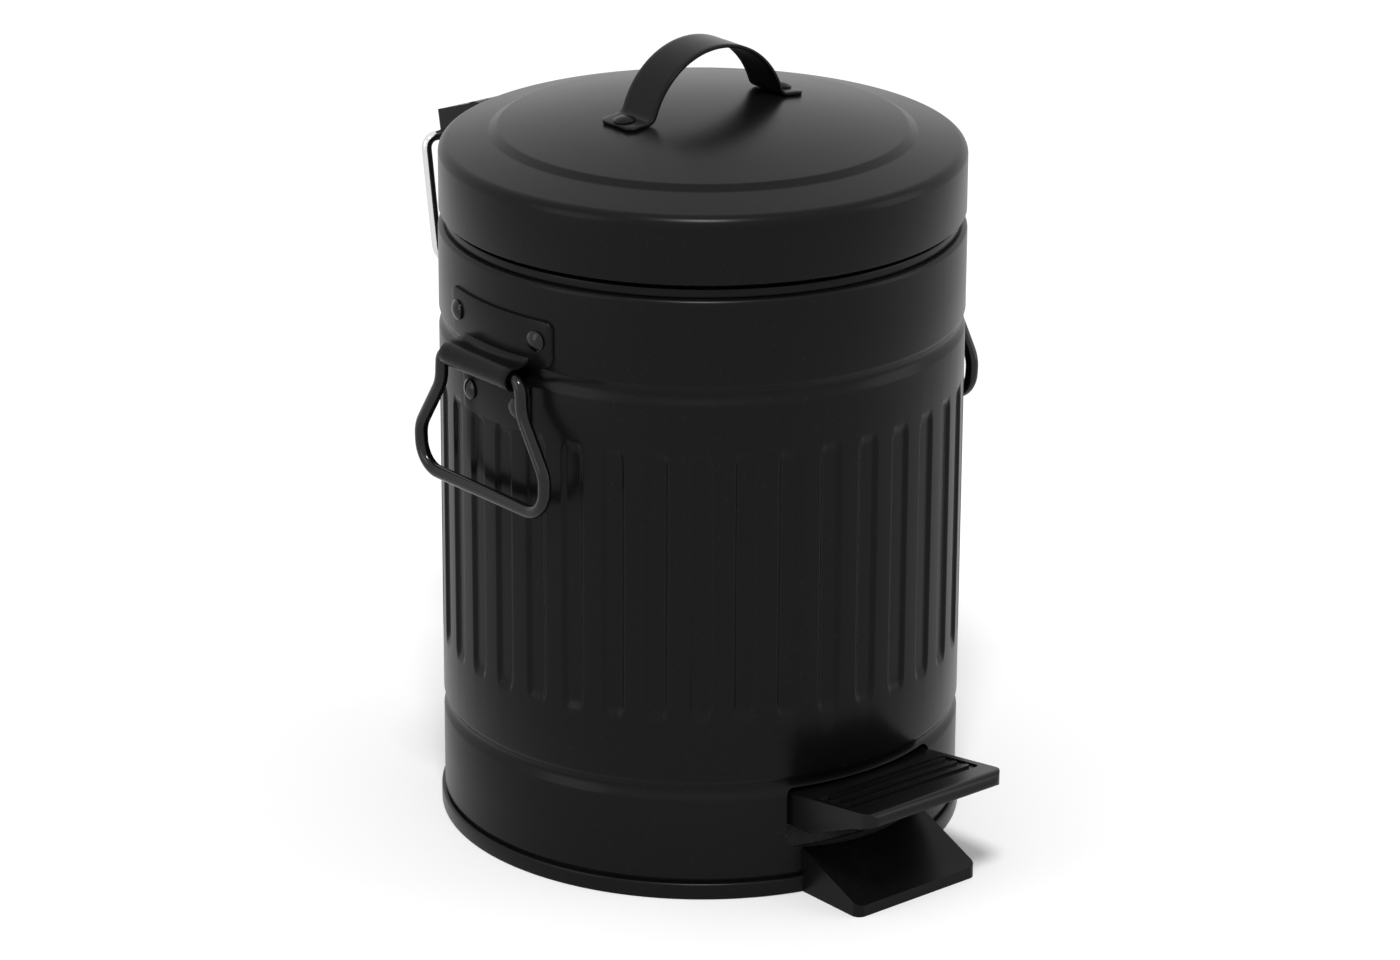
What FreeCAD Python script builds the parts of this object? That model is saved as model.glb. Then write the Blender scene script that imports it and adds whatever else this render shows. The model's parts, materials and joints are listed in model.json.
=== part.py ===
import FreeCAD, Part
import math
import os

from FreeCAD import Vector

# Step-on bin: a fluted steel can with a hinged lid, a foot pedal, a lift rod and an inner bucket.
# Millimetres, +Z up. The origin is on the can's axis at floor level. The pedal points to -Y,
# the hinge is at +Y and the two side handles are at -X and +X.

# ---- Can ---------------------------------------------------------------------------------------
can_radius = 100.0
sheet = 0.8
can_bottom_z = 7.4
shoulder_z = 236.5
shoulder_roll = 2.0
shoulder_flange_width = 5.0
groove_depth = 1.6
groove_height = 8.5
upper_groove_drop = 36.7
lower_groove_z = 43.7
plain_gap = 0.1

# ---- Flutes, pressed inwards -------------------------------------------------------------------
flute_count = 38
flute_first_deg = 2.74
flute_depth = 1.3
flute_mouth_width = 8.7
flute_floor_width = 6.5
flute_bottom_z = 70.5
flute_top_drop = 57.5
flute_end_slope = 2.6
flute_reach = 1.0

# ---- Foot ring, toe plate and bottom plate -----------------------------------------------------
ring_overhang = 1.3
ring_height = 6.4
ring_inset = 9.0
ring_edge_round = 0.7
upstand_thickness = 4.0
upstand_top_z = 13.0
toe_half_width = 30.0
toe_reach = 28.0
toe_front_height = 4.6
toe_back_height = 16.2
toe_wall = 2.4
toe_corner_round = 3.5
toe_clearance = 0.15
toe_screw_x = 18.0
toe_screw_z = 3.3
toe_screw_radius = 1.6
toe_screw_head_radius = 2.8
toe_screw_head_height = 1.8
toe_screw_length = 17.0
plate_thickness = 0.8
plate_clearance = 0.3
plate_rod_hole_radius = 4.5

# ---- Collar and inner bucket -------------------------------------------------------------------
collar_inset = 2.5
collar_height = 3.4
collar_inner_inset = 11.0
collar_ledge_inset = 8.4
collar_ledge_depth = 1.9
collar_lip_thickness = 1.6
collar_lip_depth = 8.0
collar_lip_clearance = 0.4
back_notch_half_width = 8.0
bucket_top_inset = 12.2
bucket_foot_inset = 16.5
bucket_wall = 1.5
bucket_foot_z = 52.0
bucket_rim_inset = 8.8
bucket_rim_thickness = 1.6
bucket_seat_gap = 0.1
bucket_lug_thickness = 3.0
bucket_lug_height = 5.0
bucket_lug_half_length = 4.5
bucket_lug_inset = 15.0
bail_wire_radius = 1.5
bail_arc_inset = 20.0
bail_lift = 0.3
bail_bend_radius = 3.0
bail_end_beyond_lug = 1.2
bail_hole_clearance = 0.25

# ---- Lid ---------------------------------------------------------------------------------------
lid_inset = 0.3
lid_sheet = 0.8
lid_gap = 5.3
lid_hem_width = 1.6
lid_hem_round = 0.6
lid_rim_rise = 31.3
lid_rim_round = 4.5
lid_slope_deg = 12.7
lid_step_inset = 19.3
lid_step_width = 3.5
lid_step_rise = 2.0
lid_crease_inset = 37.0
lid_crease_rise = 2.7
lid_crown_rise = 5.7

# ---- Strap handle on the lid -------------------------------------------------------------------
strap_width = 19.0
strap_thickness = 1.4
strap_arch_radius = 32.6
strap_apex_height = 24.0
strap_foot_end = 42.2
strap_bend_radius = 4.0
strap_corner_cut = 2.2
strap_turn_deg = -1.0
strap_seat_gap = 0.1
strap_rivet_distance = 37.4
strap_rivet_head_radius = 4.2
strap_rivet_head_height = 1.7

# ---- Hinge at the back -------------------------------------------------------------------------
hinge_behind_can = 10.0
hinge_rise = 16.5
hinge_pin_radius = 2.5
hinge_pin_fit = 0.05
hinge_running_clearance = 0.09
knuckle_radius = 8.0
housing_half_width = 23.0
housing_depth = 36.6
housing_back_rise = 15.4
housing_foot_depth = 27.0
housing_drop = 35.5
housing_block_rise = 6.5
housing_wall = 2.5
housing_seat_gap = 0.2
housing_edge_round = 2.5
housing_knuckle_gap = 0.6
housing_taper_width = 4.0
housing_taper_height = 20.0
cheek_inner_x = 17.3
cheek_gap = 2.0
leaf_half_width = 16.6
leaf_rise = 8.7
leaf_seat_gap = 0.1
leaf_slit_half_width = 1.7
leaf_slit_rise = 22.5
leaf_slit_depth = 16.0
leaf_relief_half_width = 4.7
leaf_relief_depth = 3.2
leaf_screw_x = 10.0
leaf_screw_rise = 19.5
leaf_screw_length = 8.5
small_screw_radius = 1.7
small_screw_head_radius = 3.4
small_screw_head_height = 1.9
screw_hole_clearance = 0.1
housing_screw_x = 13.0
housing_screw_low_drop = 25.5
housing_screw_high_drop = 5.5
housing_screw_length = 14.0
housing_boss_radius = 4.5

# ---- Lift linkage ------------------------------------------------------------------------------
lid_open_deg = 75.0
crank_length = 17.0
crank_half_thickness = 1.5
crank_eye_radius = 5.5
crank_tip_radius = 3.4
crank_pin_radius = 1.5
crank_pin_half_length = 5.2
rod_inset = 7.5
rod_radius = 2.0
fork_inner_x = 2.2
fork_plate = 1.6
fork_slot_play = 0.55
fork_slot_end_play = 0.4
fork_rim = 1.4
fork_stem_half_width = 2.2
fork_foot_drop = 15.0
fork_foot_height = 3.5
skirt_notch_half_width = 5.8
skirt_notch_rise = 16.5
relief_half_width = 3.5
relief_rise = 0.5
relief_depth = 8.0
shoulder_notch_half_width = 6.5
shoulder_notch_inset = 1.8
guide_low_z = 59.0
guide_drop = 15.5
guide_height = 9.0
guide_half_width = 6.0
guide_depth = 11.0
guide_hole_clearance = 0.1
guide_seat_gap = 0.2

# ---- Pedal -------------------------------------------------------------------------------------
pedal_pivot_y = -46.0
pedal_pivot_z = 26.0
pivot_pin_radius = 2.5
pivot_pin_head_radius = 4.0
pivot_pin_head_height = 1.5
lever_half_width = 9.0
lever_thickness = 3.0
lever_above_pivot = 2.6
lever_reach = 16.0
lever_back_gap = 3.8
lever_lug_thickness = 1.6
lever_lug_half_length = 6.0
lever_lug_drop = 4.6
lever_rod_hole_radius = 2.8
ear_clearance = 0.7
ear_thickness = 1.5
ear_half_length = 8.0
ear_drop = 6.0
bracket_flange_x = 21.0
bracket_rivet_x = 16.0
bracket_rivet_head_radius = 3.0
bracket_rivet_head_height = 1.4
rivet_radius = 2.0
rivet_hole_clearance = 0.05
rod_clip_radius = 4.0
rod_clip_height = 2.0
rod_clip_gap = 0.5
rod_end_below_clip = 1.2
pad_half_width = 34.0
pad_inside = 16.0
pad_reach = 38.5
pad_edge_reach = 34.0
pad_inner_top_z = 39.0
pad_front_top_z = 46.3
pad_lip_low_z = 41.0
pad_lip_nose_z = 44.0
pad_cheek_low_z = 27.5
pad_cheek_bend_reach = 4.0
pad_cheek_reach = 30.0
pad_cheek_front_z = 38.6
pad_skin = 3.2
pad_cheek_wall = 2.4
pad_lip_wall = 5.5
pad_corner_round = 6.0
pad_rib_count = 3
pad_rib_first_reach = 9.5
pad_rib_pitch = 5.8
pad_rib_half_length = 29.0
pad_rib_half_width = 1.2
pad_rib_height = 0.9
pad_boss_radius = 4.0
pad_screw_back_inside = 2.0
pad_screw_front_reach = 9.0
pad_screw_length = 6.5
slot_half_width = 35.7
slot_bottom_z = 18.5
slot_top_z = 42.3
slot_corner = 3.5

# ---- Side handles ------------------------------------------------------------------------------
bracket_sheet = 1.2
bracket_gap = 0.1
bracket_drop = 14.0
bracket_upper_low_drop = 31.0
bracket_upper_half_width = 30.4
bracket_upper_corner = 3.0
bracket_low_drop = 58.9
bracket_low_half_width = 19.8
barrel_drop = 36.3
barrel_stand_off = 6.0
barrel_radius = 4.6
barrel_wall = 1.4
bracket_rivet_head = 3.9
bracket_rivet_dome = 2.1
bracket_rivet_tail_radius = 3.4
bracket_rivet_tail_height = 1.0
upper_rivet_deg = 13.3
upper_rivet_drop = 22.0
lower_rivet_deg = 7.9
lower_rivet_drop = 50.2
grip_wire_radius = 2.5
grip_pivot_end_y = 6.0
grip_shoulder_y = 23.6
grip_knee_y = 24.4
grip_knee_drop = 12.5
grip_hip_y = 37.6
grip_hip_drop = 33.2
grip_foot_y = 36.8
grip_drop = 49.2
grip_shoulder_radius = 4.5
grip_knee_radius = 14.0
grip_hip_radius = 12.0
grip_foot_radius = 10.5

# ---- Rear carry handle -------------------------------------------------------------------------
carry_behind_can = 30.4
carry_rise = 7.0
carry_wire_radius = 2.0
carry_insert = 4.0
carry_hole_clearance = 0.1
carry_top_x = 32.6
carry_foot_x = 27.0
carry_drop = 52.5
carry_top_radius = 4.0
carry_foot_radius = 9.0

X_AXIS = Vector(1, 0, 0)
Y_AXIS = Vector(0, 1, 0)
Z_AXIS = Vector(0, 0, 1)
FULL_TURN = 360.0
HALF_TURN = 180.0

# ---- Sizes that follow from the driving dimensions ---------------------------------------------
can_inner_radius = can_radius - sheet
ring_radius = can_radius + ring_overhang
ring_inner_radius = can_radius - ring_inset
shoulder_flange_radius = can_radius - shoulder_flange_width
toe_front_y = -can_radius - toe_reach
collar_radius = can_radius - collar_inset
collar_inner_radius = can_radius - collar_inner_inset
collar_ledge_radius = can_radius - collar_ledge_inset
bucket_top_radius = can_radius - bucket_top_inset
bucket_foot_radius = can_radius - bucket_foot_inset
bucket_rim_radius = can_radius - bucket_rim_inset
bucket_lug_inner_x = can_radius - bucket_lug_inset
bail_arc_radius = can_radius - bail_arc_inset
lid_radius = can_radius - lid_inset
lid_step_outer_radius = can_radius - lid_step_inset
lid_crease_radius = can_radius - lid_crease_inset
hinge_y = can_radius + hinge_behind_can
housing_back_y = can_radius + housing_depth
housing_foot_y = can_radius + housing_foot_depth
cheek_front_y = can_radius + cheek_gap
leaf_slit_back_y = can_radius + leaf_slit_depth
leaf_relief_back_y = can_radius + leaf_relief_depth
rod_y = can_radius - rod_inset
relief_back_y = can_radius + relief_depth
shoulder_notch_radius = can_radius - shoulder_notch_inset
guide_inner_y = can_radius - guide_depth
lever_front_y = -can_radius - lever_reach
lever_back_y = can_radius - lever_back_gap
pad_inner_y = -can_radius + pad_inside
pad_front_y = -can_radius - pad_reach
pad_edge_y = -can_radius - pad_edge_reach
pad_cheek_bend_y = -can_radius - pad_cheek_bend_reach
pad_cheek_front_y = -can_radius - pad_cheek_reach
pad_rib_first_y = -can_radius - pad_rib_first_reach
pad_screw_back_y = -can_radius + pad_screw_back_inside
pad_screw_front_y = -can_radius - pad_screw_front_reach
barrel_x = can_radius + barrel_stand_off
carry_y = can_radius + carry_behind_can
lid_bottom_z = shoulder_z + lid_gap
lid_rim_top_z = shoulder_z + lid_rim_rise
upper_groove_z = shoulder_z - upper_groove_drop
flute_top_z = shoulder_z - flute_top_drop
hinge_z = shoulder_z + hinge_rise
housing_bottom_z = shoulder_z - housing_drop
housing_block_top_z = shoulder_z + housing_block_rise
housing_back_top_z = shoulder_z + housing_back_rise
leaf_bottom_z = shoulder_z + leaf_rise
leaf_slit_top_z = shoulder_z + leaf_slit_rise
leaf_screw_z = shoulder_z + leaf_screw_rise
housing_screw_low_z = shoulder_z - housing_screw_low_drop
housing_screw_high_z = shoulder_z - housing_screw_high_drop
skirt_notch_top_z = shoulder_z + skirt_notch_rise
relief_bottom_z = shoulder_z + relief_rise
guide_high_z = shoulder_z - guide_drop
bracket_top_z = shoulder_z - bracket_drop
bracket_upper_low_z = shoulder_z - bracket_upper_low_drop
bracket_low_z = shoulder_z - bracket_low_drop
barrel_z = shoulder_z - barrel_drop
upper_rivet_z = shoulder_z - upper_rivet_drop
lower_rivet_z = shoulder_z - lower_rivet_drop
carry_z = shoulder_z + carry_rise
half_open = math.radians(lid_open_deg / 2)
crank_pin_y = hinge_y - crank_length * math.cos(half_open)
crank_pin_z = hinge_z - crank_length * math.sin(half_open)
rod_travel = 2 * crank_length * math.sin(half_open)
lever_arm = rod_y - pedal_pivot_y
pedal_half_swing = math.asin(rod_travel / 2 / lever_arm)
lever_tilt_deg = math.degrees(pedal_half_swing)
plate_bottom_z = lower_groove_z + groove_height / 2 + plain_gap
plate_radius = can_inner_radius - plate_clearance
collar_bottom_z = shoulder_z + plain_gap
collar_top_z = collar_bottom_z + collar_height
rim_bottom_z = collar_top_z - collar_ledge_depth + bucket_seat_gap
rim_top_z = rim_bottom_z + bucket_rim_thickness
bail_z = rim_top_z + bail_lift + bail_wire_radius
pad_slope = math.atan2(pad_front_top_z - pad_inner_top_z, pad_inner_y - pad_edge_y)
lid_slope = math.radians(lid_slope_deg)
rim_centre_r = lid_radius - lid_rim_round
rim_end_r = rim_centre_r + lid_rim_round * math.sin(lid_slope)
rim_centre_z = lid_rim_top_z - lid_rim_round * math.cos(lid_slope)
step_foot_z = lid_rim_top_z + (rim_end_r - lid_step_outer_radius) * math.tan(lid_slope)
step_inner_radius = lid_step_outer_radius - lid_step_width
step_top_z = step_foot_z + lid_step_rise
crease_z = step_top_z + lid_crease_rise
crown_z = crease_z + lid_crown_rise
crown_sphere = (lid_crease_radius**2 + lid_crown_rise**2) / (2 * lid_crown_rise)
skirt_seat_radius = lid_radius + leaf_seat_gap


def crown_height(r):
    """Height of the lid's top surface at radius r inside the crease."""
    return crown_z - crown_sphere + math.sqrt(crown_sphere**2 - r**2)


# ---- Helpers -----------------------------------------------------------------------------------
def box(x0, x1, y0, y1, z0, z1):
    return Part.makeBox(x1 - x0, y1 - y0, z1 - z0, Vector(x0, y0, z0))


def cylinder(radius, start, axis, length):
    return Part.makeCylinder(radius, length, start, axis)


def can_round(radius, z0, z1):
    """A cylinder on the can's axis between two heights."""
    return cylinder(radius, Vector(0, 0, z0), Z_AXIS, z1 - z0)


def edges_through(points):
    return [Part.LineSegment(a, b).toShape() for a, b in zip(points, points[1:])]


def face_of(edges):
    return Part.Face(Part.Wire(Part.__sortEdges__(edges)))


def polygon(points, push):
    """A prism: the outline's points are joined in order and pushed along a vector."""
    return face_of(edges_through(points + points[:1])).extrude(push)


def upright_edges(shape):
    return [e for e in shape.Edges if abs(e.tangentAt(e.FirstParameter).z) > 1 - 1e-6]


def arc(a, b, c):
    return Part.Arc(a, b, c).toShape()


def turned(edges):
    """A full turn of a profile that lies in the XZ plane, about the can's axis."""
    return face_of(edges).revolve(Vector(0, 0, 0), Z_AXIS, FULL_TURN)


def at(r, z):
    return Vector(r, 0, z)


def around(shape, degrees):
    """A copy of a shape turned about the can's axis."""
    copy = shape.copy()
    copy.rotate(Vector(0, 0, 0), Z_AXIS, degrees)
    return copy


def rounded_path(points, radii):
    """Straight runs joined by tangent arcs; radii has one value for each inner point."""
    edges = []
    start = points[0]
    for before, corner, after, radius in zip(points, points[1:], points[2:], radii):
        towards = (before - corner).normalize()
        onwards = (after - corner).normalize()
        half = towards.getAngle(onwards) / 2
        reach = radius / math.tan(half)
        middle = (towards + onwards).normalize()
        centre = corner + middle * (radius / math.sin(half))
        first = corner + towards * reach
        last = corner + onwards * reach
        edges.append(Part.LineSegment(start, first).toShape())
        edges.append(arc(first, centre - middle * radius, last))
        start = last
    edges.append(Part.LineSegment(start, points[-1]).toShape())
    return Part.Wire(edges)


def round_wire(points, radii, wire_radius):
    """A round wire bent along a path."""
    path = rounded_path(points, radii)
    direction = points[1] - points[0]
    section = Part.Wire(Part.makeCircle(wire_radius, points[0], direction))
    return path.makePipeShell([section], True, False)


def cap(radius, height, base, axis):
    """A domed rivet head that rises along an axis from its flat base."""
    sphere = (radius**2 + height**2) / (2 * height)
    ball = Part.makeSphere(sphere, base - axis * (sphere - height))
    return ball.common(cylinder(radius, base, axis, 2 * height))


def screw(head_radius, head_height, shank_radius, length, seat, axis):
    """A screw whose head stands behind its seat and whose shank runs along the axis."""
    head = cylinder(head_radius, seat - axis * head_height, axis, head_height)
    return head.fuse(cylinder(shank_radius, seat, axis, length))


def save(name, *solids):
    shape = solids[0] if len(solids) == 1 else Part.makeCompound(list(solids))
    shape.exportStep("parts/" + name + ".step")
    print(name, len(shape.Solids), round(shape.Volume), shape.isValid())


# ---- Can ---------------------------------------------------------------------------------------
def groove_arc(radius, z, upwards):
    low = at(radius, z - groove_height / 2)
    high = at(radius, z + groove_height / 2)
    deepest = at(radius - groove_depth, z)
    return arc(low, deepest, high) if upwards else arc(high, deepest, low)


def can_side(radius, z0, z1):
    """The can's side line with its two grooves, from z0 up to z1."""
    half = groove_height / 2
    return [
        Part.LineSegment(at(radius, z0), at(radius, lower_groove_z - half)).toShape(),
        groove_arc(radius, lower_groove_z, True),
        Part.LineSegment(at(radius, lower_groove_z + half), at(radius, upper_groove_z - half)).toShape(),
        groove_arc(radius, upper_groove_z, True),
        Part.LineSegment(at(radius, upper_groove_z + half), at(radius, z1)).toShape(),
    ]


def can_blank():
    """The can before its flutes, slot and holes."""
    roll_z = shoulder_z - shoulder_roll
    roll_r = can_radius - shoulder_roll
    lean = shoulder_roll * math.sqrt(0.5)
    inner_lean = (shoulder_roll - sheet) * math.sqrt(0.5)
    outer = can_side(can_radius, can_bottom_z, roll_z)
    outer.append(arc(at(can_radius, roll_z), at(roll_r + lean, roll_z + lean), at(roll_r, shoulder_z)))
    flange = [
        at(roll_r, shoulder_z),
        at(shoulder_flange_radius, shoulder_z),
        at(shoulder_flange_radius, shoulder_z - sheet),
        at(roll_r, shoulder_z - sheet),
    ]
    inner = can_side(can_inner_radius, can_bottom_z, roll_z)
    inner.append(
        arc(
            at(roll_r, shoulder_z - sheet),
            at(roll_r + inner_lean, roll_z + inner_lean),
            at(can_inner_radius, roll_z),
        )
    )
    foot = edges_through([at(can_inner_radius, can_bottom_z), at(can_radius, can_bottom_z)])
    return turned(outer + edges_through(flange) + inner + foot)


def flute_block(mouth_radius, floor_radius, widen):
    """One flute at +X: a trapezoid across and along, between its mouth and its floor."""
    rise = mouth_radius - floor_radius
    reach = rise + flute_reach
    spread = (flute_mouth_width - flute_floor_width) / 2 / flute_depth
    slope = flute_end_slope / flute_depth
    sections = []
    for radius, out in ((floor_radius, 0), (floor_radius + reach, reach)):
        half = flute_floor_width / 2 + widen + spread * out
        z0 = flute_bottom_z + flute_end_slope - widen - slope * out
        z1 = flute_top_z - flute_end_slope + widen + slope * out
        corners = [
            Vector(radius, -half, z0),
            Vector(radius, half, z0),
            Vector(radius, half, z1),
            Vector(radius, -half, z1),
        ]
        sections.append(Part.makePolygon(corners + corners[:1]))
    return Part.makeLoft(sections, True, True)


def flutes(mouth_radius, floor_radius, widen):
    block = flute_block(mouth_radius, floor_radius, widen)
    pitch = FULL_TURN / flute_count
    return [around(block, flute_first_deg + pitch * i) for i in range(flute_count)]


def pedal_slot():
    """The rounded slot in the can's front for the pedal."""
    corners = [
        Vector(-slot_half_width, -can_radius - flute_reach, slot_bottom_z),
        Vector(slot_half_width, -can_radius - flute_reach, slot_bottom_z),
        Vector(slot_half_width, -can_radius - flute_reach, slot_top_z),
        Vector(-slot_half_width, -can_radius - flute_reach, slot_top_z),
    ]
    block = polygon(corners, Y_AXIS * (can_radius / 2))
    upright = [e for e in block.Edges if abs(e.tangentAt(e.FirstParameter).y) > 1 - 1e-6]
    return block.makeFillet(slot_corner, upright)


def bracket_rivet_places():
    return [
        (side * degrees, z)
        for degrees, z in ((upper_rivet_deg, upper_rivet_z), (lower_rivet_deg, lower_rivet_z))
        for side in (-1, 1)
    ]


def bracket_rivet_holes():
    """Rivet holes of the bracket at -X, as pins through the can's wall."""
    hole = rivet_radius + rivet_hole_clearance
    holes = []
    for degrees, z in bracket_rivet_places():
        pin = cylinder(hole, Vector(-can_radius - barrel_radius, 0, z), X_AXIS, can_radius / 2)
        holes.append(around(pin, degrees))
    return holes


def housing_screw_places():
    return [
        (x, z)
        for z in (housing_screw_low_z, housing_screw_high_z)
        for x in (-housing_screw_x, housing_screw_x)
    ]


def body_shell():
    solid = can_blank()
    lining = can_round(can_inner_radius, flute_bottom_z - sheet, flute_top_z + sheet)
    backs = flutes(can_inner_radius, can_inner_radius - flute_depth, sheet / 2)
    liner = lining.cut(can_round(can_inner_radius - flute_depth, flute_bottom_z - sheet, flute_top_z + sheet))
    dents = [liner.common(b) for b in backs]
    solid = solid.multiFuse(dents)
    cutters = flutes(can_radius, can_radius - flute_depth, 0)
    cutters.append(pedal_slot())
    cutters += bracket_rivet_holes()
    cutters += [around(h, HALF_TURN) for h in bracket_rivet_holes()]
    for x, z in housing_screw_places():
        start = Vector(x, can_radius / 2, z)
        cutters.append(cylinder(small_screw_radius + screw_hole_clearance, start, Y_AXIS, can_radius))
    cutters.append(
        box(
            -shoulder_notch_half_width,
            shoulder_notch_half_width,
            shoulder_flange_radius - upstand_thickness,
            shoulder_notch_radius,
            shoulder_z - 2 * sheet,
            shoulder_z + sheet,
        )
    )
    return solid.cut(cutters).removeSplitter()


# ---- Foot ring, toe plate and bottom plate -----------------------------------------------------
def base_ring():
    upstand_outer = can_inner_radius - plain_gap
    upstand_inner = upstand_outer - upstand_thickness
    points = [
        at(ring_inner_radius, 0),
        at(ring_radius, 0),
        at(ring_radius, ring_height - ring_edge_round),
        at(ring_radius - ring_edge_round, ring_height),
        at(upstand_outer, ring_height),
        at(upstand_outer, upstand_top_z),
        at(upstand_inner, upstand_top_z),
        at(upstand_inner, ring_height),
        at(ring_inner_radius, ring_height),
    ]
    ring = turned(edges_through(points + points[:1]))
    holes = [
        cylinder(
            toe_screw_radius + screw_hole_clearance,
            Vector(side * toe_screw_x, -ring_radius, toe_screw_z),
            Y_AXIS,
            ring_radius / 2,
        )
        for side in (-1, 1)
    ]
    return ring.cut(holes)


def toe_plate():
    """A hollow wedge: its top slopes down to the front, and its back follows the ring and the can."""
    back_y = -can_radius + toe_half_width / 2
    slope = (toe_back_height - toe_front_height) / (-can_radius - toe_front_y)
    top_at_back = toe_back_height + slope * (back_y + can_radius)
    outline = [
        Vector(-toe_half_width, toe_front_y, 0),
        Vector(-toe_half_width, toe_front_y, toe_front_height),
        Vector(-toe_half_width, back_y, top_at_back),
        Vector(-toe_half_width, back_y, 0),
    ]
    wedge = polygon(outline, X_AXIS * (2 * toe_half_width))
    middle_y = (toe_front_y - can_radius) / 2
    corners = [e for e in upright_edges(wedge) if e.CenterOfMass.y < middle_y]
    wedge = wedge.makeFillet(toe_corner_round, corners)
    inner = toe_half_width - toe_wall
    hollow = polygon(
        [
            Vector(-inner, toe_front_y + toe_wall, -toe_wall),
            Vector(-inner, toe_front_y + toe_wall, toe_front_height - toe_wall + slope * toe_wall),
            Vector(-inner, back_y, top_at_back - toe_wall),
            Vector(-inner, back_y, -toe_wall),
        ],
        X_AXIS * (2 * inner),
    )
    back = can_round(ring_radius + toe_clearance + toe_wall, -toe_wall, toe_back_height)
    hollow = hollow.cut(back)
    solid = wedge.cut(hollow)
    solid = solid.cut(can_round(ring_radius + toe_clearance, -toe_wall, ring_height + toe_clearance))
    solid = solid.cut(can_round(can_radius + toe_clearance, 0, 2 * toe_back_height))
    holes = []
    for side in (-1, 1):
        start = Vector(side * toe_screw_x, toe_front_y + toe_wall, toe_screw_z)
        holes.append(cylinder(toe_screw_radius, start, Y_AXIS, can_radius / 2))
    return solid.cut(holes)


def toe_plate_screws():
    seat = -ring_inner_radius + toe_screw_x**2 / (2 * ring_inner_radius) + screw_hole_clearance
    screws = []
    for side in (-1, 1):
        place = Vector(side * toe_screw_x, seat + toe_screw_head_radius / 2, toe_screw_z)
        screws.append(
            screw(
                toe_screw_head_radius,
                toe_screw_head_height,
                toe_screw_radius - screw_hole_clearance,
                toe_screw_length,
                place,
                -Y_AXIS,
            )
        )
    return screws


def bottom_plate():
    plate = can_round(plate_radius, plate_bottom_z, plate_bottom_z + plate_thickness)
    holes = [cylinder(plate_rod_hole_radius, Vector(0, rod_y, 0), Z_AXIS, can_radius)]
    for side in (-1, 1):
        place = Vector(side * bracket_rivet_x, pedal_pivot_y, 0)
        holes.append(cylinder(rivet_radius + rivet_hole_clearance, place, Z_AXIS, can_radius))
    return plate.cut(holes)


# ---- Collar, bucket and its handle -------------------------------------------------------------
def back_notch(z0, z1, inner_y):
    return box(-back_notch_half_width, back_notch_half_width, inner_y, can_radius, z0, z1)


def collar_ring():
    lip_outer = shoulder_flange_radius - collar_lip_clearance
    lip_inner = lip_outer - collar_lip_thickness
    ledge_z = collar_top_z - collar_ledge_depth
    points = [
        at(lip_inner, collar_bottom_z - collar_lip_depth),
        at(lip_outer, collar_bottom_z - collar_lip_depth),
        at(lip_outer, collar_bottom_z),
        at(collar_radius, collar_bottom_z),
        at(collar_radius, collar_top_z),
        at(collar_ledge_radius, collar_top_z),
        at(collar_ledge_radius, ledge_z),
        at(collar_inner_radius, ledge_z),
        at(collar_inner_radius, collar_bottom_z),
        at(lip_inner, collar_bottom_z),
    ]
    ring = turned(edges_through(points + points[:1]))
    return ring.cut(back_notch(0, lid_bottom_z, can_radius / 2))


def inner_bucket():
    inner_top = bucket_top_radius - bucket_wall
    inner_foot = bucket_foot_radius - bucket_wall
    points = [
        at(0, bucket_foot_z),
        at(bucket_foot_radius, bucket_foot_z),
        at(bucket_top_radius, rim_bottom_z),
        at(bucket_rim_radius, rim_bottom_z),
        at(bucket_rim_radius, rim_top_z),
        at(inner_top, rim_top_z),
        at(inner_foot, bucket_foot_z + bucket_wall),
        at(0, bucket_foot_z + bucket_wall),
    ]
    pail = turned(edges_through(points + points[:1]))
    lugs = []
    for side in (-1, 1):
        x = sorted((side * bucket_lug_inner_x, side * (bucket_lug_inner_x + bucket_lug_thickness)))
        half = bucket_lug_half_length
        lug = box(x[0], x[1], -half, half, rim_top_z - bucket_rim_thickness, rim_top_z + bucket_lug_height)
        start = Vector(side * bail_arc_radius, 0, bail_z)
        hole = cylinder(bail_wire_radius + bail_hole_clearance, start, X_AXIS * side, can_radius)
        lugs.append(lug.cut(hole))
    notch_y = bucket_top_radius + plain_gap
    pail = pail.cut(back_notch(rim_bottom_z - bucket_wall, rim_top_z + bucket_wall, notch_y))
    return pail.multiFuse(lugs).removeSplitter()


def bucket_bail():
    """A half ring of wire that lies on the bucket's rim, with its two ends turned out into the lugs."""
    end_x = bucket_lug_inner_x + bucket_lug_thickness + bail_end_beyond_lug
    bend = bail_bend_radius
    turn = bend * (1 - math.sqrt(0.5))
    edges = [
        Part.LineSegment(Vector(-end_x, 0, bail_z), Vector(-bail_arc_radius - bend, 0, bail_z)).toShape(),
        arc(
            Vector(-bail_arc_radius - bend, 0, bail_z),
            Vector(-bail_arc_radius - turn, -turn, bail_z),
            Vector(-bail_arc_radius, -bend, bail_z),
        ),
        arc(
            Vector(-bail_arc_radius, -bend, bail_z),
            Vector(0, -bend - bail_arc_radius, bail_z),
            Vector(bail_arc_radius, -bend, bail_z),
        ),
        arc(
            Vector(bail_arc_radius, -bend, bail_z),
            Vector(bail_arc_radius + turn, -turn, bail_z),
            Vector(bail_arc_radius + bend, 0, bail_z),
        ),
        Part.LineSegment(Vector(bail_arc_radius + bend, 0, bail_z), Vector(end_x, 0, bail_z)).toShape(),
    ]
    section = Part.Wire(Part.makeCircle(bail_wire_radius, Vector(-end_x, 0, bail_z), X_AXIS))
    return Part.Wire(edges).makePipeShell([section], True, False)


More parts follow.
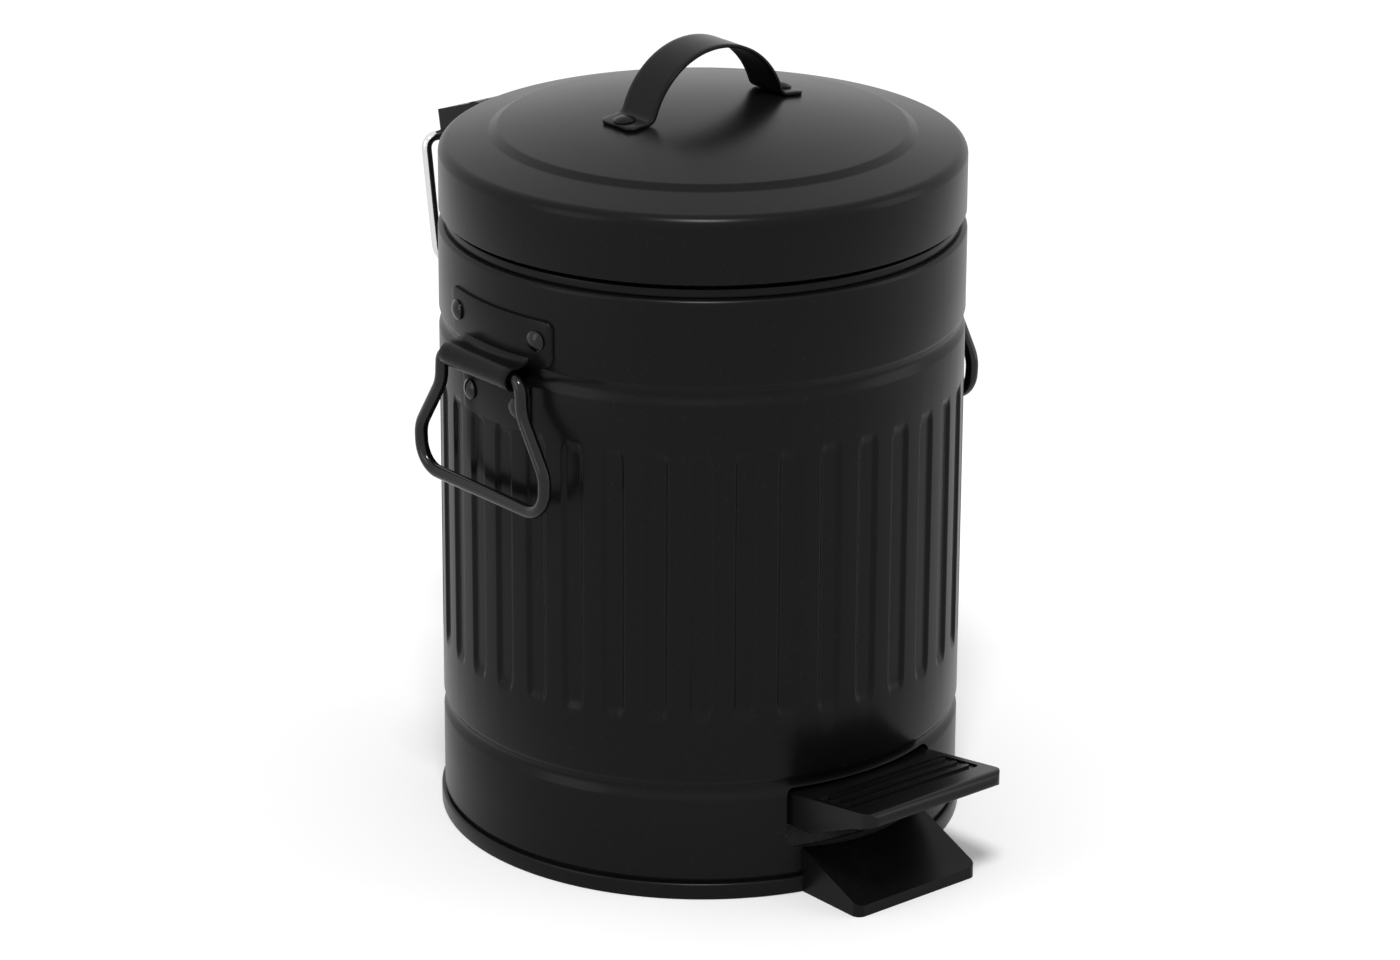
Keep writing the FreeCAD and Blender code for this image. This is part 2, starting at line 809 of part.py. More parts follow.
# ---- Lid ---------------------------------------------------------------------------------------
def lid_line(inset):
    """The lid's section line from the skirt's foot to its crown, drawn in from the outside by inset."""
    normal = Vector(math.sin(lid_slope), 0, math.cos(lid_slope))
    middle = math.radians(FULL_TURN / 8) - lid_slope / 2
    rim = lid_rim_round - inset
    centre = at(rim_centre_r, rim_centre_z)
    start = centre + X_AXIS * rim
    finish = centre + normal * rim
    foot = at(lid_step_outer_radius, step_foot_z - inset)
    top = at(step_inner_radius, step_top_z - inset)
    crease = at(lid_crease_radius, crease_z - inset)
    half_way = lid_crease_radius / 2
    edges = [
        Part.LineSegment(at(lid_radius - inset, lid_bottom_z + lid_hem_round), start).toShape(),
        arc(start, centre + Vector(math.cos(middle), 0, math.sin(middle)) * rim, finish),
    ]
    edges += edges_through([finish, foot, top, crease])
    edges.append(arc(crease, at(half_way, crown_height(half_way) - inset), at(0, crown_z - inset)))
    return edges


def lid_shell():
    skirt_inner = lid_radius - lid_sheet
    hem = [
        at(lid_radius, lid_bottom_z + lid_hem_round),
        at(lid_radius - lid_hem_round, lid_bottom_z),
        at(lid_radius - lid_hem_width, lid_bottom_z),
        at(lid_radius - lid_hem_width, lid_bottom_z + lid_hem_round),
        at(skirt_inner, lid_bottom_z + lid_hem_round),
    ]
    crown = edges_through([at(0, crown_z - lid_sheet), at(0, crown_z)])
    solid = turned(lid_line(0) + lid_line(lid_sheet) + edges_through(hem) + crown)
    half = skirt_notch_half_width
    cutters = [box(-half, half, can_radius / 2, can_radius, 0, skirt_notch_top_z)]
    for side in (-1, 1):
        start = Vector(side * leaf_screw_x, can_radius / 2, leaf_screw_z)
        cutters.append(cylinder(small_screw_radius + screw_hole_clearance, start, Y_AXIS, can_radius))
    cutters += [around(hole, strap_turn_deg) for hole in strap_rivet_holes()]
    return solid.cut(cutters)


def strap_rivet_seat(side):
    """The point on the crown under one strap rivet and the outward direction there, before the turn."""
    lean = math.asin(strap_rivet_distance / crown_sphere)
    point = at(side * strap_rivet_distance, crown_height(strap_rivet_distance))
    return point, at(side * math.sin(lean), math.cos(lean))


def strap_rivet_holes():
    holes = []
    for side in (-1, 1):
        point, out = strap_rivet_seat(side)
        low = point - out * (2 * bracket_rivet_tail_height)
        holes.append(cylinder(rivet_radius + rivet_hole_clearance, low, out, 2 * strap_rivet_head_radius))
    return holes


def strap_line(offset):
    """The strap's section line, moved out by offset: a foot arc, a bend, the arch, a bend and a foot arc."""
    dome = at(0, crown_z - crown_sphere)
    arch = at(0, crown_z + strap_apex_height - strap_arch_radius)
    foot = crown_sphere + strap_seat_gap + strap_thickness / 2
    hoop = strap_arch_radius - strap_thickness / 2
    bend = strap_bend_radius
    far = (foot + bend) ** 2 - (hoop + bend) ** 2 + arch.z**2 - dome.z**2
    centre_z = far / 2 / (arch.z - dome.z)
    centre_x = math.sqrt((hoop + bend) ** 2 - (centre_z - arch.z) ** 2)
    edges = []
    ends = []
    for side in (-1, 1):
        centre = at(side * centre_x, centre_z)
        down = (dome - centre).normalize()
        inward = (arch - centre).normalize()
        touch = centre + down * (bend - offset)
        leave = centre + inward * (bend - offset)
        between = centre + (down + inward).normalize() * (bend - offset)
        radius = foot + offset
        tip = at(side * strap_foot_end, dome.z + math.sqrt(radius**2 - strap_foot_end**2))
        half_x = side * (strap_foot_end + centre_x) / 2
        middle = at(half_x, dome.z + math.sqrt(radius**2 - half_x**2))
        edges += [arc(tip, middle, touch), arc(touch, between, leave)]
        ends += [tip, leave]
    edges.append(arc(ends[1], arch + Z_AXIS * (hoop + offset), ends[3]))
    return edges, ends[0], ends[2]


def lid_strap_handle():
    """A flat strip bent to an arch with two feet that lie on the lid's crown."""
    outer, outer_left, outer_right = strap_line(strap_thickness / 2)
    inner, inner_left, inner_right = strap_line(-strap_thickness / 2)
    tips = edges_through([outer_left, inner_left]) + edges_through([outer_right, inner_right])
    strip = face_of(outer + inner + tips).extrude(Y_AXIS * strap_width)
    strip.translate(Y_AXIS * (-strap_width / 2))
    cutters = strap_rivet_holes()
    for side in (-1, 1):
        for edge in (-1, 1):
            tip = Vector(side * strap_foot_end, edge * strap_width / 2, 0)
            corner = [
                tip + Vector(-side * strap_corner_cut, edge, 0),
                tip + Vector(side, edge, 0),
                tip + Vector(side, -edge * strap_corner_cut, 0),
            ]
            cutters.append(polygon(corner, Z_AXIS * (2 * crown_z)))
    return around(strip.cut(cutters), strap_turn_deg)


def lid_handle_rivets():
    rivets = []
    for side in (-1, 1):
        point, out = strap_rivet_seat(side)
        top = point + out * (strap_seat_gap + strap_thickness + plain_gap)
        low = point - out * (lid_sheet + 2 * plain_gap)
        head = cap(strap_rivet_head_radius, strap_rivet_head_height, top, out)
        shank = cylinder(rivet_radius, low, out, (top - low).Length)
        tail = cylinder(bracket_rivet_tail_radius, low, -out, bracket_rivet_tail_height)
        rivets.append(around(head.multiFuse([shank, tail]), strap_turn_deg))
    return rivets


# ---- Hinge -------------------------------------------------------------------------------------
def crossing(p, along, q, other):
    """Where the line from p meets the line from q, both in the YZ plane."""
    skew = along.y * other.z - along.z * other.y
    return p + along * (((q.y - p.y) * other.z - (q.z - p.z) * other.y) / skew)


def housing_outline(inset):
    """The housing seen from +X: a leaning back, a top that falls from the cheeks, drawn in by inset."""
    low_y = can_radius / 2
    foot = Vector(0, housing_foot_y, housing_bottom_z)
    rear = Vector(0, housing_back_y, housing_back_top_z)
    brow = Vector(0, hinge_y, hinge_z + knuckle_radius)
    back = (rear - foot).normalize()
    slope = (brow - rear).normalize()
    back_point = foot + X_AXIS.cross(back) * inset
    top_point = brow + X_AXIS.cross(slope) * inset
    floor = foot + Z_AXIS * inset
    front = Vector(0, hinge_y, 0)
    if inset > 0:
        front.y += knuckle_radius + housing_knuckle_gap + inset
    deck_z = housing_block_top_z - inset
    return [
        Vector(0, low_y, floor.z),
        crossing(back_point, back, floor, Y_AXIS),
        crossing(back_point, back, top_point, slope),
        crossing(top_point, slope, front, Z_AXIS),
        Vector(0, front.y, deck_z),
        Vector(0, low_y, deck_z),
    ]


def housing_prism(inset):
    half = housing_half_width - inset
    points = [p - X_AXIS * half for p in housing_outline(inset)]
    return polygon(points, X_AXIS * (2 * half))


def hinge_housing():
    """A hollow block on the can's back, with a cheek at each end that holds the hinge pin."""
    half = housing_half_width
    seat = can_radius + housing_seat_gap
    low_y = can_radius / 2
    wall = housing_wall
    block = housing_prism(0)
    hollow = housing_prism(wall)
    low_back, top_back = housing_outline(0)[1:3]
    middle = (low_back + top_back) / 2
    rounded = []
    for edge in block.Edges:
        centre = edge.CenterOfMass
        on_side = (centre - middle).cross(X_AXIS).Length < plain_gap
        on_top = (centre - top_back).Length < plain_gap
        if on_side or on_top:
            rounded.append(edge)
    block = block.makeFillet(housing_edge_round, rounded)
    bosses = []
    for x, z in housing_screw_places():
        boss = cylinder(housing_boss_radius, Vector(x, low_y, z), Y_AXIS, housing_back_y - low_y)
        bosses.append(boss.common(block))
    for side in (-1, 1):
        corner = [
            Vector(side * (half + wall), low_y, housing_bottom_z - wall),
            Vector(side * (half - housing_taper_width), low_y, housing_bottom_z - wall),
            Vector(side * (half - housing_taper_width), low_y, housing_bottom_z),
            Vector(side * half, low_y, housing_bottom_z + housing_taper_height),
            Vector(side * (half + wall), low_y, housing_bottom_z + housing_taper_height),
        ]
        block = block.cut(polygon(corner, Y_AXIS * housing_back_y))
        hollow = hollow.cut(polygon([p - X_AXIS * (side * wall) for p in corner], Y_AXIS * housing_back_y))
    block = block.cut(hollow).multiFuse(bosses)
    bay = cheek_inner_x
    bay_back_y = hinge_y + knuckle_radius + housing_knuckle_gap
    block = block.cut(box(-bay, bay, low_y, bay_back_y, housing_block_top_z, crown_z))
    solid = block.multiFuse([cheek_nose(side) for side in (-1, 1)])
    relief = relief_half_width
    cutters = [
        can_round(seat, 0, 2 * crown_z),
        box(-relief, relief, low_y, relief_back_y, relief_bottom_z, housing_block_top_z + wall),
    ]
    for x, z in housing_screw_places():
        cutters.append(cylinder(small_screw_radius, Vector(x, low_y, z), Y_AXIS, housing_screw_length + low_y))
    pin = hinge_pin_radius + hinge_pin_fit
    cutters.append(cylinder(pin, Vector(-half, hinge_y, hinge_z), X_AXIS, 2 * half))
    for side in (-1, 1):
        start = Vector(side * half, carry_y, carry_z)
        depth = carry_insert + carry_hole_clearance
        cutters.append(cylinder(carry_wire_radius + carry_hole_clearance, start, X_AXIS * -side, depth))
    return solid.cut(cutters).removeSplitter()


def cheek_nose(side):
    """The front of one cheek, rounded about the hinge axis so that the lid's skirt clears it."""
    x = sorted((side * cheek_inner_x, side * housing_half_width))
    nose = cylinder(knuckle_radius, Vector(x[0], hinge_y, hinge_z), X_AXIS, x[1] - x[0])
    web = box(x[0], x[1], cheek_front_y, hinge_y, housing_block_top_z - housing_wall, hinge_z)
    return nose.fuse(web)


def housing_screws():
    screws = []
    for x, z in housing_screw_places():
        inner = math.sqrt(can_inner_radius**2 - (abs(x) + small_screw_head_radius) ** 2)
        seat = Vector(x, inner - plain_gap, z)
        screws.append(
            screw(
                small_screw_head_radius,
                small_screw_head_height,
                small_screw_radius - screw_hole_clearance,
                housing_screw_length,
                seat,
                Y_AXIS,
            )
        )
    return screws


def hinge_pin():
    half = housing_half_width - plain_gap
    return cylinder(hinge_pin_radius, Vector(-half, hinge_y, hinge_z), X_AXIS, 2 * half)


def hinge_leaf():
    """The lid's hinge block: a knuckle on the pin and a pad that sits on the skirt."""
    half = leaf_half_width
    top_z = hinge_z + knuckle_radius
    knuckle = cylinder(knuckle_radius, Vector(-half, hinge_y, hinge_z), X_AXIS, 2 * half)
    pad = box(-half, half, can_radius / 2, hinge_y, leaf_bottom_z, top_z)
    solid = knuckle.fuse(pad)
    slit = leaf_slit_half_width
    relief = leaf_relief_half_width
    cutters = [
        can_round(skirt_seat_radius, 0, 2 * crown_z),
        cylinder(hinge_pin_radius + hinge_running_clearance, Vector(-half, hinge_y, hinge_z), X_AXIS, 2 * half),
        box(-slit, slit, can_radius / 2, leaf_slit_back_y, 0, leaf_slit_top_z),
        box(-relief, relief, can_radius / 2, leaf_relief_back_y, 0, 2 * top_z),
    ]
    for side in (-1, 1):
        start = Vector(side * leaf_screw_x, can_radius / 2, leaf_screw_z)
        cutters.append(cylinder(small_screw_radius, start, Y_AXIS, can_radius / 2 + leaf_screw_length))
    return solid.cut(cutters).removeSplitter()


def hinge_leaf_screws():
    inner = math.sqrt((lid_radius - lid_sheet) ** 2 - (leaf_screw_x + small_screw_head_radius) ** 2)
    return [
        screw(
            small_screw_head_radius,
            small_screw_head_height,
            small_screw_radius - screw_hole_clearance,
            leaf_screw_length,
            Vector(side * leaf_screw_x, inner - plain_gap, leaf_screw_z),
            Y_AXIS,
        )
        for side in (-1, 1)
    ]


# ---- Lift linkage ------------------------------------------------------------------------------
def lid_crank():
    """A steel plate from the hinge pin to the crank pin: two eyes joined by a tapered web."""
    thickness = 2 * crank_half_thickness
    eye = Vector(-crank_half_thickness, hinge_y, hinge_z)
    tip = Vector(-crank_half_thickness, crank_pin_y, crank_pin_z)
    along = (tip - eye).normalize()
    across = along.cross(X_AXIS)
    web = polygon(
        [
            eye + across * crank_tip_radius,
            tip + across * crank_tip_radius,
            tip - across * crank_tip_radius,
            eye - across * crank_tip_radius,
        ],
        X_AXIS * thickness,
    )
    solid = cylinder(crank_eye_radius, eye, X_AXIS, thickness)
    solid = solid.multiFuse([cylinder(crank_tip_radius, tip, X_AXIS, thickness), web])
    eye_hole = cylinder(hinge_pin_radius + hinge_running_clearance, eye, X_AXIS, thickness)
    tip_hole = cylinder(crank_pin_radius + rivet_hole_clearance, tip, X_AXIS, thickness)
    return solid.cut([eye_hole, tip_hole]).removeSplitter()


def crank_pin():
    start = Vector(-crank_pin_half_length, crank_pin_y, crank_pin_z)
    return cylinder(crank_pin_radius, start, X_AXIS, 2 * crank_pin_half_length)


def rod_foot_z():
    """Height of the rod's lower end, under the lever's back end."""
    lever_mid = pedal_pivot_z + lever_above_pivot + lever_thickness / 2 - lever_arm * math.tan(pedal_half_swing)
    return lever_mid - lever_thickness / 2 - rod_clip_gap - rod_clip_height - rod_end_below_clip


def lift_rod():
    """A round rod with a forked head; the head's slots take the crank pin."""
    bottom = rod_foot_z()
    fork_low = crank_pin_z - fork_foot_drop
    rod = cylinder(rod_radius, Vector(0, rod_y, bottom), Z_AXIS, fork_low - bottom)
    outer_x = fork_inner_x + fork_plate
    stem = fork_stem_half_width
    foot = box(-outer_x, outer_x, rod_y - stem, rod_y + stem, fork_low, fork_low + fork_foot_height)
    slot_radius = crank_pin_radius + fork_slot_play
    near_y = hinge_y - crank_length
    slot_low = near_y - crank_pin_radius - fork_slot_end_play + slot_radius
    slot_high = crank_pin_y + crank_pin_radius + fork_slot_end_play - slot_radius
    head_radius = slot_radius + fork_rim
    plates = []
    for side in (-1, 1):
        x = min(side * fork_inner_x, side * outer_x)
        plate = box(x, x + fork_plate, rod_y - stem, rod_y + stem, fork_low, crank_pin_z)
        head = box(x, x + fork_plate, slot_low, slot_high, crank_pin_z - head_radius, crank_pin_z + head_radius)
        plates += [plate, head]
        for y in (slot_low, slot_high):
            plates.append(cylinder(head_radius, Vector(x, y, crank_pin_z), X_AXIS, fork_plate))
    solid = rod.multiFuse([foot] + plates)
    slot_z = (crank_pin_z - slot_radius, crank_pin_z + slot_radius)
    cutters = [box(-outer_x, outer_x, slot_low, slot_high, *slot_z)]
    for y in (slot_low, slot_high):
        cutters.append(cylinder(slot_radius, Vector(-outer_x, y, crank_pin_z), X_AXIS, 2 * outer_x))
    return solid.cut(cutters).removeSplitter()


def rod_clips():
    """Two retaining rings on the rod, one above and one below the lever."""
    lever_mid = rod_foot_z() + rod_end_below_clip + rod_clip_height + rod_clip_gap + lever_thickness / 2
    low = lever_mid - lever_thickness / 2 - rod_clip_gap - rod_clip_height
    high = lever_mid + lever_thickness / 2 + rod_clip_gap
    rings = []
    for z in (low, high):
        ring = cylinder(rod_clip_radius, Vector(0, rod_y, z), Z_AXIS, rod_clip_height)
        bore = cylinder(rod_radius + rivet_hole_clearance, Vector(0, rod_y, z), Z_AXIS, rod_clip_height)
        rings.append(ring.cut(bore))
    return rings


def rod_guides():
    guides = []
    wall = can_round(can_inner_radius - guide_seat_gap, 0, crown_z)
    for z in (guide_low_z, guide_high_z):
        low = z - guide_height / 2
        block = box(-guide_half_width, guide_half_width, guide_inner_y, can_radius, low, low + guide_height)
        bore = cylinder(rod_radius + guide_hole_clearance, Vector(0, rod_y, low), Z_AXIS, guide_height)
        guides.append(block.common(wall).cut(bore))
    return guides


# ---- Pedal -------------------------------------------------------------------------------------
def lever_tilted(shape):
    """The lever is drawn level and tilted to its rest angle, front up, about the pivot."""
    shape.rotate(Vector(0, pedal_pivot_y, pedal_pivot_z), X_AXIS, -lever_tilt_deg)
    return shape


def pedal_lever():
    low = pedal_pivot_z + lever_above_pivot
    strip = box(-lever_half_width, lever_half_width, lever_front_y, lever_back_y, low, low + lever_thickness)
    lugs = []
    for side in (-1, 1):
        x = sorted((side * lever_half_width, side * (lever_half_width - lever_lug_thickness)))
        y0 = pedal_pivot_y - lever_lug_half_length
        y1 = pedal_pivot_y + lever_lug_half_length
        lugs.append(box(x[0], x[1], y0, y1, pedal_pivot_z - lever_lug_drop, low))
    solid = strip.multiFuse(lugs)
    pivot = Vector(-lever_half_width, pedal_pivot_y, pedal_pivot_z)
    cutters = [cylinder(pivot_pin_radius + hinge_running_clearance, pivot, X_AXIS, 2 * lever_half_width)]
    rod_reach = lever_arm / math.cos(pedal_half_swing)
    cutters.append(cylinder(lever_rod_hole_radius, Vector(0, pedal_pivot_y + rod_reach, 0), Z_AXIS, can_radius))
    for y in (pad_screw_back_y, pad_screw_front_y):
        cutters.append(cylinder(small_screw_radius + screw_hole_clearance, Vector(0, y, 0), Z_AXIS, can_radius))
    return lever_tilted(solid.cut(cutters).removeSplitter())


def pad_top_z(y):
    return pad_inner_top_z + (pad_inner_y - y) * math.tan(pad_slope)


def pad_section(x, points):
    return [Vector(x, y, z) for y, z in points]


def pedal_pad():
    """The foot pad: a sloping tread with a rounded front lip, two cheeks and grip ribs."""
    half = pad_half_width
    outline = [
        (pad_inner_y, pad_inner_top_z),
        (pad_edge_y, pad_front_top_z),
        (pad_front_y + 1, pad_lip_nose_z + 1),
        (pad_front_y, pad_lip_nose_z),
        (pad_front_y + 1, pad_lip_low_z + 1),
        (pad_edge_y, pad_lip_low_z - 1),
        (pad_cheek_front_y, pad_cheek_front_z),
        (pad_cheek_bend_y, pad_cheek_low_z),
        (pad_inner_y, pad_cheek_low_z),
    ]
    block = polygon(pad_section(-half, outline), X_AXIS * (2 * half))
    inner = half - pad_cheek_wall
    hollow_front = pad_front_y + pad_lip_wall
    hollow = [
        (pad_inner_y + pad_skin, pad_top_z(pad_inner_y + pad_skin) - pad_skin),
        (hollow_front, pad_top_z(hollow_front) - pad_skin),
        (hollow_front, 0),
        (pad_inner_y + pad_skin, 0),
    ]
    block = block.cut(polygon(pad_section(-inner, hollow), X_AXIS * (2 * inner)))
    plan = [
        Vector(-half, pad_inner_y, 0),
        Vector(half, pad_inner_y, 0),
        Vector(half, pad_front_y, 0),
        Vector(-half, pad_front_y, 0),
    ]
    blank = polygon(plan, Z_AXIS * (2 * pad_front_top_z))
    corners = [e for e in upright_edges(blank) if e.CenterOfMass.y < pad_edge_y]
    block = block.common(blank.makeFillet(pad_corner_round, corners))
    ribs = [grip_rib(pad_rib_first_y - pad_rib_pitch * i) for i in range(pad_rib_count)]
    bosses = [pad_boss(y) for y in (pad_screw_back_y, pad_screw_front_y)]
    solid = block.multiFuse(ribs + bosses)
    strip = box(
        -lever_half_width - plain_gap,
        lever_half_width + plain_gap,
        lever_front_y - plain_gap,
        pad_inner_y + can_radius / 2,
        0,
        pedal_pivot_z + lever_above_pivot + lever_thickness + plain_gap,
    )
    cutters = [lever_tilted(strip)]
    hole_top = pedal_pivot_z + pad_screw_length + 2 * lever_thickness
    for y in (pad_screw_back_y, pad_screw_front_y):
        cutters.append(lever_tilted(cylinder(small_screw_radius, Vector(0, y, 0), Z_AXIS, hole_top)))
    return solid.cut(cutters).removeSplitter()


def grip_rib(y):
    """One raised rib across the tread, round at both ends, square to the sloping top."""
    half = pad_rib_half_length
    width = pad_rib_half_width
    top = pad_top_z(y)
    low = -pad_skin / 2
    height = pad_rib_height - low
    bar = box(-half, half, -width, width, low, pad_rib_height)
    ends = [cylinder(width, Vector(side * half, 0, low), Z_AXIS, height) for side in (-1, 1)]
    rib = bar.multiFuse(ends)
    rib.rotate(Vector(0, 0, 0), X_AXIS, -math.degrees(pad_slope))
    rib.translate(Vector(0, y, top))
    return rib


def pad_boss(y):
    """A screw boss under the tread that reaches down to the lever."""
    start = Vector(0, y, pedal_pivot_z)
    boss = cylinder(pad_boss_radius, start, Z_AXIS, pad_top_z(y) - pedal_pivot_z - pad_skin / 2)
    return boss


def pedal_screws():
    screws = []
    seat = pedal_pivot_z + lever_above_pivot - plain_gap
    for y in (pad_screw_back_y, pad_screw_front_y):
        one = screw(
            small_screw_head_radius,
            small_screw_head_height,
            small_screw_radius - screw_hole_clearance,
            pad_screw_length,
            Vector(0, y, seat),
            Z_AXIS,
        )
        screws.append(lever_tilted(one))
    return screws


def pedal_bracket():
    """A folded bracket under the bottom plate, with an ear at each side of the lever."""
    inner = lever_half_width + ear_clearance
    outer = inner + ear_thickness
    top = plate_bottom_z - plain_gap
    y0 = pedal_pivot_y - ear_half_length
    y1 = pedal_pivot_y + ear_half_length
    low = pedal_pivot_z - ear_drop
    ears = [box(min(s * inner, s * outer), max(s * inner, s * outer), y0, y1, low, top) for s in (-1, 1)]
    flange = box(-bracket_flange_x, bracket_flange_x, y0, y1, top - ear_thickness, top)
    solid = flange.multiFuse(ears)
    start = Vector(-outer, pedal_pivot_y, pedal_pivot_z)
    cutters = [cylinder(pivot_pin_radius + hinge_pin_fit, start, X_AXIS, 2 * outer)]
    for side in (-1, 1):
        place = Vector(side * bracket_rivet_x, pedal_pivot_y, 0)
        cutters.append(cylinder(rivet_radius + rivet_hole_clearance, place, Z_AXIS, can_radius))
    return solid.cut(cutters).removeSplitter()


def pedal_bracket_rivets():
    rivets = []
    top = plate_bottom_z + plate_thickness + plain_gap
    low = plate_bottom_z - ear_thickness - 2 * plain_gap
    for side in (-1, 1):
        place = Vector(side * bracket_rivet_x, pedal_pivot_y, low)
        shank = cylinder(rivet_radius, place, Z_AXIS, top - low)
        head = cap(bracket_rivet_head_radius, bracket_rivet_head_height, place, -Z_AXIS)
        tail = cap(bracket_rivet_head_radius, bracket_rivet_head_height, place + Z_AXIS * (top - low), Z_AXIS)
        rivets.append(shank.multiFuse([head, tail]))
    return rivets


def pedal_pivot_pin():
    outer = lever_half_width + ear_clearance + ear_thickness + plain_gap
    start = Vector(-outer, pedal_pivot_y, pedal_pivot_z)
    shank = cylinder(pivot_pin_radius, start, X_AXIS, 2 * outer)
    heads = [
        cylinder(pivot_pin_head_radius, start, -X_AXIS, pivot_pin_head_height),
        cylinder(pivot_pin_head_radius, start + X_AXIS * (2 * outer), X_AXIS, pivot_pin_head_height),
    ]
    return shank.multiFuse(heads)


# ---- Side handles ------------------------------------------------------------------------------
def bracket_plate(half_width, z0, z1, corner):
    """A plate that follows the can at -X, with its four corners cut off."""
    x = -can_radius - barrel_radius
    outline = [
        Vector(x, -half_width + corner, z0),
        Vector(x, half_width - corner, z0),
        Vector(x, half_width, z0 + corner),
        Vector(x, half_width, z1 - corner),
        Vector(x, half_width - corner, z1),
        Vector(x, -half_width + corner, z1),
        Vector(x, -half_width, z1 - corner),
        Vector(x, -half_width, z0 + corner),
    ]
    block = polygon(outline, X_AXIS * (can_radius / 2))
    inner = can_radius + bracket_gap
    sheet_ring = can_round(inner + bracket_sheet, 0, crown_z).cut(can_round(inner, 0, crown_z))
    return block.common(sheet_ring)


def side_bracket():
    """The bracket at -X: a wide upper plate, a half-round barrel and a narrow lower plate."""
    corner = bracket_upper_corner
    upper = bracket_plate(bracket_upper_half_width, bracket_upper_low_z - corner, bracket_top_z, corner)
    waist = bracket_low_half_width
    lower = bracket_plate(waist, bracket_low_z, barrel_z, bracket_sheet)
    trim = box(-2 * can_radius, 0, -can_radius, can_radius, barrel_z, barrel_z + barrel_radius)
    upper = upper.cut(trim)
    lower = lower.common(box(-2 * can_radius, 0, -waist, waist, 0, barrel_z - barrel_radius + barrel_wall))
    start = Vector(-barrel_x, -waist, barrel_z)
    tube = cylinder(barrel_radius, start, Y_AXIS, 2 * waist)
    block = box(-barrel_x, -can_radius / 2, -waist, waist, barrel_z - barrel_radius, barrel_z + barrel_radius)
    bore_radius = barrel_radius - barrel_wall
    bore = cylinder(bore_radius, start, Y_AXIS, 2 * waist)
    room = box(-barrel_x, -can_radius / 2, -waist, waist, barrel_z - bore_radius, barrel_z + bore_radius)
    barrel = tube.fuse(block).cut([bore, room, can_round(can_radius + bracket_gap, 0, crown_z)])
    solid = upper.multiFuse([lower, barrel]).cut(bracket_rivet_holes())
    return solid.removeSplitter()


def side_rivets():
    """Four domed rivets of the bracket at -X, each with a flat tail inside the can."""
    head_r = can_radius + bracket_gap + bracket_sheet + plain_gap
    tail_r = can_inner_radius - 2 * plain_gap
    rivets = []
    for degrees, z in bracket_rivet_places():
        outer = Vector(-head_r, 0, z)
        inner = Vector(-tail_r, 0, z)
        head = cap(bracket_rivet_head, bracket_rivet_dome, outer, -X_AXIS)
        shank = cylinder(rivet_radius, outer, X_AXIS, head_r - tail_r)
        tail = cylinder(bracket_rivet_tail_radius, inner, X_AXIS, bracket_rivet_tail_height)
        rivets.append(around(head.multiFuse([shank, tail]), degrees))
    return rivets


def side_grip():
    """The bent wire grip at -X, hanging from the barrel."""
    x = -barrel_x
    half = [
        Vector(x, grip_pivot_end_y, barrel_z),
        Vector(x, grip_shoulder_y, barrel_z),
        Vector(x, grip_knee_y, barrel_z - grip_knee_drop),
        Vector(x, grip_hip_y, barrel_z - grip_hip_drop),
        Vector(x, grip_foot_y, barrel_z - grip_drop),
    ]
    other = [Vector(p.x, -p.y, p.z) for p in reversed(half)]
    radii = [grip_shoulder_radius, grip_knee_radius, grip_hip_radius, grip_foot_radius]
    return round_wire(half + other, radii + radii[::-1], grip_wire_radius)


# ---- Rear carry handle -------------------------------------------------------------------------
def rear_carry_handle():
    half = [
        Vector(housing_half_width - carry_insert, carry_y, carry_z),
        Vector(carry_top_x, carry_y, carry_z),
        Vector(carry_foot_x, carry_y, carry_z - carry_drop),
    ]
    other = [Vector(-p.x, p.y, p.z) for p in reversed(half)]
    radii = [carry_top_radius, carry_foot_radius]
    return round_wire(half + other, radii + radii[::-1], carry_wire_radius)


def main():
    os.makedirs("parts", exist_ok=True)
    save("body_shell", body_shell())
    save("base_ring", base_ring())
    save("toe_plate", toe_plate())
    save("toe_plate_screws", *toe_plate_screws())
    save("bottom_plate", bottom_plate())
    save("collar_ring", collar_ring())
    save("inner_bucket", inner_bucket())
    save("bucket_bail", bucket_bail())
    save("lid_shell", lid_shell())
    save("lid_strap_handle", lid_strap_handle())
    save("lid_handle_rivets", *lid_handle_rivets())
    save("hinge_housing", hinge_housing())
    save("housing_screws", *housing_screws())
    save("hinge_pin", hinge_pin())
    save("hinge_leaf", hinge_leaf())
    save("hinge_leaf_screws", *hinge_leaf_screws())
    save("lid_crank", lid_crank())
    save("crank_pin", crank_pin())
    save("lift_rod", lift_rod())
    save("rod_clips", *rod_clips())
    save("rod_guides", *rod_guides())
    save("pedal_lever", pedal_lever())
    save("pedal_pad", pedal_pad())
    save("pedal_screws", *pedal_screws())
    save("pedal_bracket", pedal_bracket())
    save("pedal_bracket_rivets", *pedal_bracket_rivets())
    save("pedal_pivot_pin", pedal_pivot_pin())
    save("left_bracket", side_bracket())
    save("left_bracket_rivets", *side_rivets())
    save("left_bail", side_grip())
    save("right_bracket", around(side_bracket(), HALF_TURN))
    save("right_bracket_rivets", *[around(r, HALF_TURN) for r in side_rivets()])
    save("right_bail", around(side_grip(), HALF_TURN))
    save("rear_carry_handle", rear_carry_handle())
    print("rod travel", round(rod_travel, 3), "pedal swing", round(2 * lever_tilt_deg, 3))


main()
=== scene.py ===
import json
import math

import bmesh
import bpy
from bpy.props import FloatProperty, FloatVectorProperty, IntProperty, PointerProperty
from mathutils import Matrix, Vector


